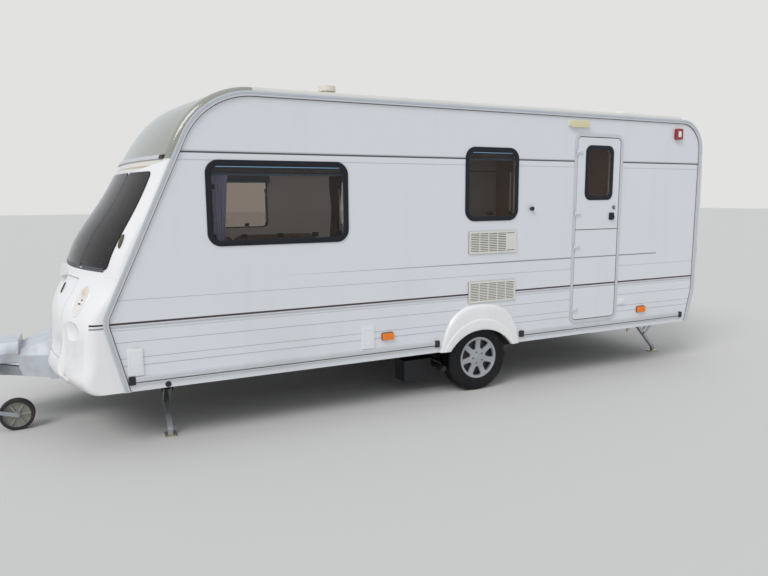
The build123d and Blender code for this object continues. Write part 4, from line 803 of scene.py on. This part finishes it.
SEAT_LOW, SEAT_HIGH = (np.array(corner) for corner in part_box("seat_cushions"))
SEAT_TOP_Z, BENCH_TOP_Z, BACK_Y, GANGWAY_Y = 0.970, 0.850, 0.930, 0.450
GAP_X, GAP_Z = 0.003, 0.001
# Columns: part, inner y, from z, to z, the axis that it is thin along
CUSHION_PARTS = [("seat", GANGWAY_Y, BENCH_TOP_Z, SEAT_TOP_Z, 2),
                 ("back", BACK_Y, SEAT_TOP_Z, SEAT_HIGH[2], 1)]
for side, end in SIDES:
    joins = np.linspace(SEAT_LOW[0], SEAT_HIGH[0], 3)
    for i, (x0, x1) in enumerate(zip(joins, joins[1:])):
        for part, inner_y, z0, z1, thin in CUSHION_PARTS:
            y0, y1 = sorted((side * inner_y, side * SEAT_HIGH[1]))
            shape = cushion((x0 + GAP_X, y0, z0 + GAP_Z), (x1 - GAP_X, y1, z1 - GAP_Z), thin)
            made = piece(f"{part}_cushion_{end}_{i + 1}", shape, upholstery)
            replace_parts(made, "seat_cushions")

CURTAIN_LOW, CURTAIN_HIGH = (np.array(corner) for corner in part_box("curtains"))
CURTAIN_Y, PLEATS, PLEAT_DEPTH = 0.047 - WALL_Y, 5, 0.026
# Columns: name, x from, x to, share of the width at the foot, share of it at the tie, cloth
CURTAINS = [("front", CURTAIN_LOW[0] + 0.002, CURTAIN_LOW[0] + 0.148, 0.46, 1.0, curtain_cloth),
            ("rear", CURTAIN_HIGH[0] - 0.108, CURTAIN_HIGH[0] - 0.002, 1.0, 0.7, curtain_brown)]
for end, x0, x1, foot, waist, cloth in CURTAINS:
    shape, area = pleated(x0, x1, CURTAIN_Y, CURTAIN_LOW[2], CURTAIN_HIGH[2], PLEATS, PLEAT_DEPTH,
                          foot, waist)
    made = piece("curtain_" + end, [shape], cloth)
    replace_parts(made, "curtains")


# Windows: rubber seals, stays and catches inside the panes, blind boxes along the top

# Columns: name, x from, x to, z from, z to, side
SIDE_WINDOWS = [
    ("lounge_near", at(-2.330), at(-1.241), 1.370, 1.993, -1),
    ("kitchen_near", at(-0.195), at(0.374), 1.501, 2.141, -1),
    ("lounge_off", at(-2.330), at(-1.241), 1.370, 1.993, 1),
    ("kitchen_off", at(-0.560), at(0.480), 1.370, 1.993, 1),
    ("washroom_off", at(1.900), at(2.300), 1.640, 2.060, 1),
]
SEAL = [(-0.0100, 0.0002), (-0.0085, 0.0030), (-0.0100, 0.0066), (-0.0150, 0.0094), (-0.0210, 0.0100),
        (-0.0235, 0.0086), (-0.0260, 0.0086), (-0.0285, 0.0098), (-0.0380, 0.0096), (-0.0450, 0.0080),
        (-0.0502, 0.0056), (-0.0502, -0.0006), (-0.0420, -0.0006)]
WINDOW_CORNER, WIDE_WINDOW = 0.104, 0.8
# In from the frame's sides, down from its top, and from and to heights off the wall's face
BLIND_INSET, BLIND_TOP, BLIND_FOOT, BLIND_DEPTHS = 0.030, 0.038, 0.100, (-0.098, -0.034)
# Painted reflections: the blind's lower lip, and a thin strip under the pane's top edge
LIP_TOP, LIP_FOOT = 0.1005, 0.114
REFLECTION_INSET, REFLECTION_TOP, REFLECTION_FOOT, REFLECTION_DEPTHS = 0.080, 0.0530, 0.0590, (0.0048, 0.0060)
STAY_INSET, STAY_RADIUS, STAY_END_DEPTHS = 0.066, 0.0060, (-0.050, -0.030)
STAY_END_WIDE, STAY_END_HIGH = 0.010, 0.016
CATCH_WIDE, CATCH_FOOT, CATCH_TOP, CATCH_DEPTHS = 0.022, 0.056, 0.088, (-0.045, -0.012)
for name, x0, x1, z0, z1, side in SIDE_WINDOWS:
    ring = wall_ring(x0, x1, z0, z1, WINDOW_CORNER, 12, SEAL, side)
    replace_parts(piece("seal_" + name, [ring], black_rubber), "window_frames")
    blind_x = (x0 + BLIND_INSET, x1 - BLIND_INSET)
    blind = wall_block(side, *blind_x, z1 - BLIND_FOOT, z1 - BLIND_TOP, *BLIND_DEPTHS, 0.010)
    piece("blind_box_" + name, [blind], blind_grey)
    # A lip along the blind's foot and a strip below the pane's top, pale blue as painted reflections
    lip = wall_block(side, *blind_x, z1 - LIP_FOOT, z1 - LIP_TOP, *BLIND_DEPTHS, 0.003, 2)
    line = wall_block(side, x0 + REFLECTION_INSET, x1 - REFLECTION_INSET, z1 - REFLECTION_FOOT, z1 - REFLECTION_TOP, *REFLECTION_DEPTHS,
                      0.0005, 1)
    piece("window_reflections_" + name, [lip, line], sky_reflection_blue)
    stay_y = side * (WALL_Y + sum(STAY_END_DEPTHS) / 2)
    fittings, stays = [], []
    for x in (x0 + STAY_INSET, x1 - STAY_INSET):
        stays.append(tube([(x, stay_y, z) for z in (z0 + 0.08, z0 + 0.20, z1 - 0.20)], STAY_RADIUS))
        for z in (z0 + 0.075, z1 - 0.195):
            fittings.append(wall_block(side, x - STAY_END_WIDE, x + STAY_END_WIDE, z - STAY_END_HIGH,
                                       z + STAY_END_HIGH, *STAY_END_DEPTHS, 0.004))
    piece("window_stays_" + name, stays, stay_white)
    for share in (0.25, 0.5, 0.75) if x1 - x0 > WIDE_WINDOW else (0.5,):
        x = x0 + share * (x1 - x0)
        fittings.append(wall_block(side, x - CATCH_WIDE, x + CATCH_WIDE, z0 + CATCH_FOOT, z0 + CATCH_TOP,
                                   *CATCH_DEPTHS, 0.006))
    piece("window_fittings_" + name, fittings, black_plastic)

# Door: the seal of its window, hinge caps and screws, and a D grip with its lock barrel

DOOR_SEAL = [(0.000, 0.0032), (0.004, 0.0032), (0.004, 0.0070), (-0.002, 0.0104), (-0.028, 0.0104),
             (-0.0355, 0.0076), (-0.0355, 0.0090), (-0.028, 0.0098), (-0.002, 0.0098), (0.000, 0.0080)]
# x from, x to, z from, z to, corner radius
DOOR_WINDOW = (at(1.130), at(1.467), 1.683, 2.178, 0.062)
ring = wall_ring(*DOOR_WINDOW, 10, DOOR_SEAL, -1)
piece("seal_door", [ring], black_rubber, "door_up")
HINGE_CAP = [(0.0, -0.0095), (0.0052, -0.0095), (0.0060, -0.0085), (0.0060, 0.0085), (0.0052, 0.0095),
             (0.0, 0.0095)]
HINGE_SCREW = ((0.0034, 0.0030), (0.0198, 0.0212, 0.0216))
HINGE_X, HINGE_PROUD, HINGE_SCREWS_X = at(1.015), 0.014, (at(1.058), at(1.072))
# Columns: name, body, heights
HINGES = [("upper", "door_up", (1.560, 2.120)), ("lower", "door_low", (0.660, 1.250))]
for name, body, heights in HINGES:
    caps = []
    for z in heights:
        caps.append(turned(HINGE_CAP, (HINGE_X, -WALL_Y - HINGE_PROUD, z), (0, 0, 1), 20))
        caps += [screw_head((x, -WALL_Y, z), OUT[-1], *HINGE_SCREW, 12) for x in HINGE_SCREWS_X]
    piece(f"hinge_detail_{name}", caps, silver_paint, body)

GRIP_X, GRIP_Z, GRIP_REACH, GRIP_HALF, GRIP_RADIUS = at(1.458), 1.518, 0.020, 0.019, 0.0042
LOCK_X, LOCK_Z = at(1.497), 1.609
LOCK_SECTION = [(0.0, 0.0115), (0.0115, 0.0115), (0.0125, 0.0130), (0.0120, 0.0150), (0.0, 0.0155)]
t = np.linspace(-math.pi / 2, math.pi / 2, 15)
bow = [(GRIP_X + GRIP_REACH * math.cos(a), -WALL_Y - 0.0265, GRIP_Z + GRIP_HALF * math.sin(a)) for a in t]
ends = [(GRIP_X - 0.008, -WALL_Y - 0.0262, GRIP_Z + way * GRIP_HALF) for way in (-1, 1)]
piece("door_grip", [tube([ends[0], *bow, ends[1]], GRIP_RADIUS)], black_plastic, "door_up")
barrel = turned(LOCK_SECTION, (LOCK_X, -WALL_Y, LOCK_Z), OUT[-1], 28)
piece("door_lock", [barrel], silver_paint, "door_up")
key_slot = wall_block(-1, LOCK_X - 0.0010, LOCK_X + 0.0010, LOCK_Z - 0.007, LOCK_Z + 0.007, 0.0150, 0.0165,
                      0.0005)
piece("door_lock_slot", [key_slot], black_plastic, "door_up")

# Spats with their screws, the liner of the arch, and ribs and bases of the side lamps

SPAT_FOOT = 0.404
SPAT_OUTLINE = filleted([(-0.432, SPAT_FOOT), (-0.300, 0.772), (0.0, 0.795), (0.343, 0.742),
                         (0.402, SPAT_FOOT)], [0.320, 0.600, 0.330], 14)[0]
# Ovals: x and z of the centre, half width, half height
LIP_OVAL = (-0.020, 0.181, 0.424, 0.476)
ARCH_OVAL = (-0.010, 0.165, 0.398, 0.402)
LINER_OVAL = (0.008, 0.133, 0.431, 0.431)
# Columns: share of the way from one line to the next, height off the wall
SPAT_TO_LIP = [(0.0, 0.0004), (0.02, 0.0060), (0.05, 0.0130), (0.10, 0.0190), (0.17, 0.0235),
               (0.28, 0.0262), (0.50, 0.0275), (0.90, 0.0280), (0.97, 0.0284), (1.0, 0.0310)]
SPAT_TO_ARCH = [(0.05, 0.0334), (0.12, 0.0340), (0.50, 0.0338), (0.90, 0.0335), (0.97, 0.0325),
                (1.0, 0.0300), (1.0, 0.0004)]
SPAT_SCREWS = [(-0.428, 0.420), (-0.401, 0.530), (-0.362, 0.628), (-0.028, 0.774), (0.319, 0.650),
               (0.388, 0.440)]
SPAT_SCREW = ((0.0052, 0.0046), (0.0, 0.0040, 0.0050))
# Columns: x from, x to, z from, z to
SIDE_LAMPS = [(at(-0.971), at(-0.872), 0.567, 0.624), (at(1.869), at(1.973), 0.557, 0.614)]
LAMP_BASE = [(0.0004, 0.0002), (0.0045, 0.0002), (0.0040, 0.0060), (0.0004, 0.0066)]
# Number, margin from the lamp's end, half width, heights off the wall, radius
LAMP_RIBS = (8, 0.016, 0.0022, (0.0210, 0.0236), 0.0010)
RIB_MARGIN_Z = 0.008


def even_steps(points, steps):
    """Points at even lengths along a line."""
    run = np.concatenate([[0], np.cumsum(np.linalg.norm(np.diff(points, axis=0), axis=1))])
    where = np.linspace(0, run[-1], steps)
    return np.stack([np.interp(where, run, points[:, i]) for i in range(2)], -1)


def oval_arc(oval, foot, steps=200):
    """The part of an oval above a height, from its front foot to its rear foot."""
    x, z, wide, high = oval
    start = math.asin((foot - z) / high)
    t = np.linspace(math.pi - start, start, steps)
    return np.stack([x + wide * np.cos(t), z + high * np.sin(t)], -1)


def lamp_ribs(side, lamp, number, margin, half, depths, radius):
    """Upright ribs at even steps along a lamp."""
    x0, x1, z0, z1 = lamp
    return [wall_block(side, x - half, x + half, z0 + RIB_MARGIN_Z, z1 - RIB_MARGIN_Z, *depths, radius, 2)
            for x in np.linspace(x0 + margin, x1 - margin, number)]


def rows_on_wall(rows, side):
    """A grid on a side wall. Columns: points (x from the axle, z), height off the wall's face."""
    return grid_shape(np.stack([
        np.column_stack([at(line[:, 0]), side * (WALL_Y + out) + 0 * line[:, 0], line[:, 1]])
        for line, out in rows]))


def spat_shape(side, steps=90):
    """Rows (1 - share) first + share second, from the outline to the lip's line, then to the arch's."""
    outline, lip, arch = (even_steps(line, steps) for line in (
        SPAT_OUTLINE, oval_arc(LIP_OVAL, SPAT_FOOT), oval_arc(ARCH_OVAL, SPAT_FOOT)))
    rows = [((1 - share) * outline + share * lip, out) for share, out in SPAT_TO_LIP]
    rows += [((1 - share) * lip + share * arch, out) for share, out in SPAT_TO_ARCH]
    return rows_on_wall(rows, side)


for side, end in SIDES:
    spat = piece("spat_" + end, [spat_shape(side)], gelcoat, sharp=60)
    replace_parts(spat, "wheel_spats")
    liner = rows_on_wall([(oval_arc(oval, SPAT_FOOT), 0.0003) for oval in (LINER_OVAL, ARCH_OVAL)], side)
    piece("arch_liner_" + end, [liner], black_plastic)
    screws = [screw_head((at(x), side * (WALL_Y + 0.0125), z), OUT[side], *SPAT_SCREW, 16)
              for x, z in SPAT_SCREWS]
    piece("spat_screws_" + end, screws, ivory_plastic)
    ribs = [rib for lamp in SIDE_LAMPS for rib in lamp_ribs(side, lamp, *LAMP_RIBS)]
    bases = [wall_ring(*lamp, 0.010, 5, LAMP_BASE, side) for lamp in SIDE_LAMPS]
    piece("lamp_ribs_" + end, ribs, amber_lens)
    piece("lamp_bases_" + end, bases, black_plastic)

# Service flaps of the door side: screws, raised insets, one wide flap and a socket's lid

FLAP_SCREWS = [(-2.881, 0.528), (-2.805, 0.528), (-2.881, 0.693), (-2.805, 0.693), (-1.142, 0.524),
               (-1.055, 0.524), (-1.142, 0.680), (-1.055, 0.680)]
FLAP_SCREW = ((0.0030, 0.0027), (0.0088, 0.0104, 0.0108))
FLAP_INSET = [(0.0, 0.0088), (0.0, 0.0106), (-0.004, 0.0110), (-0.004, 0.0088)]
# x from, x to, z from, z to, then of a block its heights off the wall and its radius
INSET_PLACES = [(at(-2.883), at(-2.801), 0.540, 0.681), (at(-1.134), at(-1.063), 0.536, 0.668)]
WIDE_FLAP = (at(-2.893), at(-2.793), 0.515, 0.706, 0.0, 0.0094, 0.003)
SOCKET_LID = (at(1.612), at(1.684), 0.664, 0.704, 0.0118, 0.0150, 0.0015)
screws = [screw_head((at(x), -WALL_Y, z), OUT[-1], *FLAP_SCREW, 12) for x, z in FLAP_SCREWS]
insets = [wall_ring(*inset, 0.010, 5, FLAP_INSET, -1) for inset in INSET_PLACES]
blocks = [wall_block(-1, *block) for block in (WIDE_FLAP, SOCKET_LID)]
piece("flap_details", screws + insets + blocks, white_plastic)

# Nose: shapes laid on the moulded front, each point moved onto the surface and lifted off it

RAY_START = 0.12


def laid(points, ahead, nodes, lift):
    """Points moved along a direction to the nearest of the nodes' surfaces, and back from it by the lift."""
    ahead = Vector(ahead).normalized()
    ways = [(NODES[name], NODES[name].matrix_world.inverted()) for name in nodes.split()]
    found = []
    for point, up in zip(points.reshape(-1, 3), np.broadcast_to(lift, points.shape[:-1]).ravel()):
        start = Vector(point) - RAY_START * ahead
        spots = []
        for node, to_node in ways:
            hit, spot, normal, face = node.ray_cast(to_node @ start, to_node.to_3x3() @ ahead)
            if hit:
                spots.append(node.matrix_world @ spot)
        spot = min(spots, key=lambda at_surface: (at_surface - start).length) if spots else Vector(point)
        found.append(np.array(spot) - up * np.array(ahead))
    return np.array(found).reshape(points.shape)


def oval_on(centre, ahead, width, height, scales, lifts, node, lean=0.0, steps=40):
    """Rings about a centre, square to a direction: centre + k (w cos t u + h sin t v), laid on nodes."""
    ahead = np.array(ahead, float) / np.linalg.norm(ahead)
    u = np.cross(ahead, (0, 0, 1))
    u /= np.linalg.norm(u)
    v = np.cross(u, ahead)
    u, v = u * math.cos(lean) + v * math.sin(lean), v * math.cos(lean) - u * math.sin(lean)
    t = np.arange(steps) * 2 * math.pi / steps
    ring = width * np.cos(t)[:, None] * u + height * np.sin(t)[:, None] * v
    points = np.array(centre) + np.array(scales)[:, None, None] * ring[None]
    return grid_shape(laid(points, ahead, node, np.array(lifts)[:, None]), wrap_columns=True)


def stroke_on(first, last, ahead, half, lift, node, steps=16):
    """A flat strip between two points, laid on a surface with its edges turned down to it."""
    first, last, ahead = np.array(first), np.array(last), np.array(ahead, float)
    side_way = np.cross(last - first, ahead)
    side_way /= np.linalg.norm(side_way)
    run = np.linspace(0, 1, steps)[:, None, None]
    across = np.array([-1.0, -0.96, 0.96, 1.0])[None, :, None]
    points = first + run * (last - first) + half * across * side_way
    return grid_shape(laid(points, ahead, node, np.array([0.0002, lift, lift, 0.0002])[None, :]))


# Places, directions and half sizes of the off side
DISH, DISH_WAY, DISH_HALVES = (at(-3.1532), 0.8348, 1.0233), (0.79, -0.31, -0.53), (0.086, 0.112)
CATCH, CATCH_WAY, CATCH_HALVES = (at(-2.8768), 1.0194, 1.4321), (0.79, -0.44, -0.42), (0.016, 0.052)
TAPE_FROM, TAPE_TO, TAPE_WAY = (at(-3.1178), 1.0774), (at(-3.0268), 1.114), (0.62, -0.78, 0.0)
TAPE_HALF, TAPE_LIFT, TAPE_RISE = 0.0060, 0.0008, 0.001
# Rings of an oval: their shares of its half sizes, and their lifts off the surface
DISH_FLOOR = (np.linspace(0.02, 0.98, 13), [0.0016] * 13)
DISH_RIM = ([0.96, 0.99, 1.03, 1.07, 1.10], [0.0006, 0.0034, 0.0044, 0.0034, 0.0003])
DOT_RINGS = ([0.05, 0.9, 1.0], [0.0040, 0.0040, 0.0010])
CATCH_RINGS = ([0.03, 0.8, 0.95, 1.0], [0.014, 0.013, 0.009, 0.0004])
LATCH_RINGS = ([0.03, 0.85, 1.0], [0.008, 0.007, 0.0004])
# Columns: x and z from the dish's centre, half width
DISH_DOTS = [(-0.006, 0.010, 0.006), (-0.012, -0.022, 0.012)]
# Columns: name, height, finish
CORNER_TAPES = [("corner_tape_", 0.8820, maroon_tape), ("corner_tape_grey_", 0.8580, grey_tape)]
# The front rail leans forward by this much a metre, and the foot strip lies before it at these distances
RAIL_LEAN, FOOT_STRIP = 0.2354, (0.056, 0.036, 0.010)
for side, end in SIDES:
    centre, way = to_side(side, DISH), to_side(side, DISH_WAY)
    bowl = oval_on(centre, way, *DISH_HALVES, *DISH_FLOOR, "front_lower_panel", steps=64)
    piece("dish_floor_" + end, [bowl], dish_stain)
    rim = oval_on(centre, way, *DISH_HALVES, *DISH_RIM, "front_lower_panel")
    piece("dish_rim_" + end, [rim], gelcoat)
    dots = [oval_on((centre[0] + dx, centre[1], centre[2] + dz), way, wide, 0.006, *DOT_RINGS,
                    "front_lower_panel", steps=14) for dx, dz, wide in DISH_DOTS]
    piece("dish_dots_" + end, dots, black_plastic)
    foot = np.array([[(at(-2.903 - RAIL_LEAN * rise - out), side * (WALL_Y + 0.0004), RAIL_FOOT_Z + rise)
                      for out in FOOT_STRIP] for rise in np.linspace(0, 0.200, 9)])
    piece("corner_foot_" + end, [grid_shape(foot)], gelcoat)
    for name, z, finish in CORNER_TAPES:
        tape = stroke_on(to_side(side, (*TAPE_FROM, z)), to_side(side, (*TAPE_TO, z + TAPE_RISE)),
                         to_side(side, TAPE_WAY), TAPE_HALF, TAPE_LIFT, "front_lower_panel")
        piece(name + end, [tape], finish)
    catch = oval_on(to_side(side, CATCH), to_side(side, CATCH_WAY), *CATCH_HALVES, *CATCH_RINGS,
                    "front_window_panel", steps=28)
    piece("pane_catch_" + end, [catch], catch_olive)

# Columns: height of a seal line, half its width
SEAL_LINES = [(1.2260, 0.0060), (1.2440, 0.0050)]
SEAL_START_X, SEAL_END_Y = at(-3.30), 0.950
seals = []
for z, half in SEAL_LINES:
    y, up = np.meshgrid(np.linspace(-SEAL_END_Y, SEAL_END_Y, 121), np.array([-1.0, -0.8, 0.8, 1.0]),
                        indexing="ij")
    line = np.stack([SEAL_START_X + 0 * y, y, z + half * up], -1)
    seals.append(grid_shape(laid(line, (1, 0, 0), "front_window_panel window_panes front_lower_panel",
                                 np.array([0.0002, 0.0026, 0.0026, 0.0002])[None, :])))
piece("front_pane_seal", seals, pane_seal)
LATCH, LATCH_WAY, LATCH_HALVES = (at(-3.2628), -0.3554, 1.0619), (0.86, 0.14, -0.49), (0.015, 0.046)
latch = oval_on(LATCH, LATCH_WAY, *LATCH_HALVES, *LATCH_RINGS, "gas_locker_lid", lean=0.25, steps=28)
piece("lid_latch", [latch], black_plastic, "locker_lid")

# Awning lamp: ribs and base. Flue: slats under its cap

AWNING_LAMP = (at(0.913), at(1.138), 2.335, 2.396)
AWNING_LAMP_RIBS = (14, 0.027, 0.0020, (0.0294, 0.0312), 0.0008)
AWNING_LAMP_BASE = [(0.0004, 0.0002), (0.0060, 0.0002), (0.0055, 0.0070), (0.0004, 0.0078)]
piece("awning_lamp_ribs", lamp_ribs(-1, AWNING_LAMP, *AWNING_LAMP_RIBS), cream_lens)
base = wall_ring(*AWNING_LAMP, 0.020, 6, AWNING_LAMP_BASE, -1)
piece("awning_lamp_base", [base], white_plastic)
FLUE_SLAT = [(0.051, 0.0), (0.062, -0.004), (0.062, -0.007), (0.051, -0.003)]
flue_low, flue_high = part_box("roof_flue")
flue_middle = (flue_low + flue_high) / 2
slats = [turned(FLUE_SLAT, (flue_middle.x, flue_middle.y, z), (0, 0, 1), 40) for z in (2.545, 2.556)]
piece("flue_slats", slats, ivory_plastic)

# Rear: a blank plate and its lamps, grab handles and a high lamp

TAIL_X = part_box("red_lamps")[1].x
PLATE_Z, PLATE_HALF_Y, PLATE_HALF_Z, PLATE_LAMPS_Y = 0.924, 0.260, 0.0555, (-0.14, 0.14)
# Columns: x from the lamps' rear face, z
HANDLE_PATH = [(-0.042, 1.250), (-0.024, 1.258), (-0.012, 1.285), (-0.010, 1.340), (-0.010, 1.400),
               (-0.012, 1.455), (-0.024, 1.482), (-0.042, 1.490)]
HANDLE_Y, HANDLE_RADIUS = 0.800, 0.009
plate = soft_block((TAIL_X - 0.0085, -PLATE_HALF_Y, PLATE_Z - PLATE_HALF_Z),
                   (TAIL_X - 0.0060, PLATE_HALF_Y, PLATE_Z + PLATE_HALF_Z), 0.0010)
piece("blank_plate", [plate], plate_white)
plate_lamps = [soft_block((TAIL_X - 0.040, y - 0.035, PLATE_Z + 0.066),
                          (TAIL_X - 0.001, y + 0.035, PLATE_Z + 0.088), 0.005) for y in PLATE_LAMPS_Y]
piece("plate_lamps", plate_lamps, black_plastic)
for side, end in SIDES:
    handle = tube([(TAIL_X + x, side * HANDLE_Y, z) for x, z in HANDLE_PATH], HANDLE_RADIUS, 14)
    piece("grab_handle_" + end, [handle], white_plastic)
high_lamp = soft_block((TAIL_X - 0.060, -0.140, 2.060), (TAIL_X - 0.010, 0.140, 2.092), 0.008)
piece("high_lamp", [high_lamp], red_lens)


# Studio: pale floor, soft light and the camera at the photograph's view

PALE, FLOOR_GREY, SKY_BLUE = srgb(226, 226, 224), srgb(206, 205, 202), (0.93, 0.96, 1.0, 1)
SKY_STRENGTH = 0.72
SUN_ENERGY, SUN_ANGLE, SUN_WAY = 1.30, math.radians(28), (0.88, 0.54, -1.05)
# Soft lights under the roof. Columns: name, x from the axle
INNER_LIGHTS = [("lounge", -1.75), ("kitchen", 0.15)]
INNER_SIZE, INNER_ENERGY, INNER_Z = (1.2, 0.9), 4.5, 2.38


def studio():
    bpy.ops.mesh.primitive_plane_add(size=160)
    floor = bpy.context.object
    floor.name = "studio_floor"
    made = bpy.data.materials.new("studio_floor")
    made.use_nodes = True
    shader = made.node_tree.nodes["Principled BSDF"].inputs
    shader["Base Color"].default_value = FLOOR_GREY
    shader["Roughness"].default_value = 0.9
    floor.data.materials.append(made)
    world = bpy.data.worlds.new("studio")
    bpy.context.scene.world = world
    world.use_nodes = True
    tree = world.node_tree
    tree.nodes.clear()
    rays = add(tree, "ShaderNodeLightPath").outputs
    seen = maths(tree, "MAXIMUM", rays["Is Camera Ray"], rays["Is Transmission Ray"])
    lit = add(tree, "ShaderNodeBackground", {"Color": SKY_BLUE, "Strength": SKY_STRENGTH})
    shown = add(tree, "ShaderNodeBackground", {"Color": PALE, "Strength": 1.0})
    mixed = add(tree, "ShaderNodeMixShader", {0: seen, 1: lit.outputs[0], 2: shown.outputs[0]})
    out = add(tree, "ShaderNodeOutputWorld", {"Surface": mixed.outputs[0]})
    out.is_active_output = True
    sun = bpy.data.lights.new("key", "SUN")
    sun.energy, sun.angle = SUN_ENERGY, SUN_ANGLE
    key = bpy.data.objects.new("key", sun)
    key.rotation_euler = Vector(SUN_WAY).to_track_quat("-Z", "Y").to_euler()
    bpy.context.scene.collection.objects.link(key)
    for name, x in INNER_LIGHTS:
        soft = bpy.data.lights.new("inner_" + name, "AREA")
        soft.shape, (soft.size, soft.size_y), soft.energy = "RECTANGLE", INNER_SIZE, INNER_ENERGY
        inner = bpy.data.objects.new("inner_" + name, soft)
        inner.location = (at(x), 0, INNER_Z)
        inner.visible_camera = inner.visible_glossy = inner.visible_transmission = False
        bpy.context.scene.collection.objects.link(inner)


# The camera of the photograph: place from the axle in metres, angles in degrees, lens for a 36 mm sensor
CAMERA_PLACE = (-3.138, -5.631, 1.710)
CAMERA_YAW, CAMERA_PITCH, CAMERA_ROLL = 25.78, -8.10, -0.388
CAMERA_LENS = 29.59


def photograph_camera():
    yaw, pitch, roll = (math.radians(a) for a in (CAMERA_YAW, CAMERA_PITCH, CAMERA_ROLL))
    ahead = Vector((math.sin(yaw) * math.cos(pitch), math.cos(yaw) * math.cos(pitch), math.sin(pitch)))
    level = Vector((math.cos(yaw), -math.sin(yaw), 0))
    above = level.cross(ahead)
    right = math.cos(roll) * level + math.sin(roll) * above
    up = -math.sin(roll) * level + math.cos(roll) * above
    turn = Matrix((right, up, -ahead)).transposed()
    data = bpy.data.cameras.new("camera")
    data.lens = CAMERA_LENS
    data.sensor_width = 36
    camera = bpy.data.objects.new("camera", data)
    camera.matrix_world = Matrix.Translation(Vector(CAMERA_PLACE) + Vector((AXLE_X, 0, 0))) @ turn.to_4x4()
    bpy.context.scene.collection.objects.link(camera)
    bpy.context.scene.camera = camera


studio()
photograph_camera()
bpy.context.scene.view_settings.view_transform = "Standard"

bpy.context.view_layer.update()
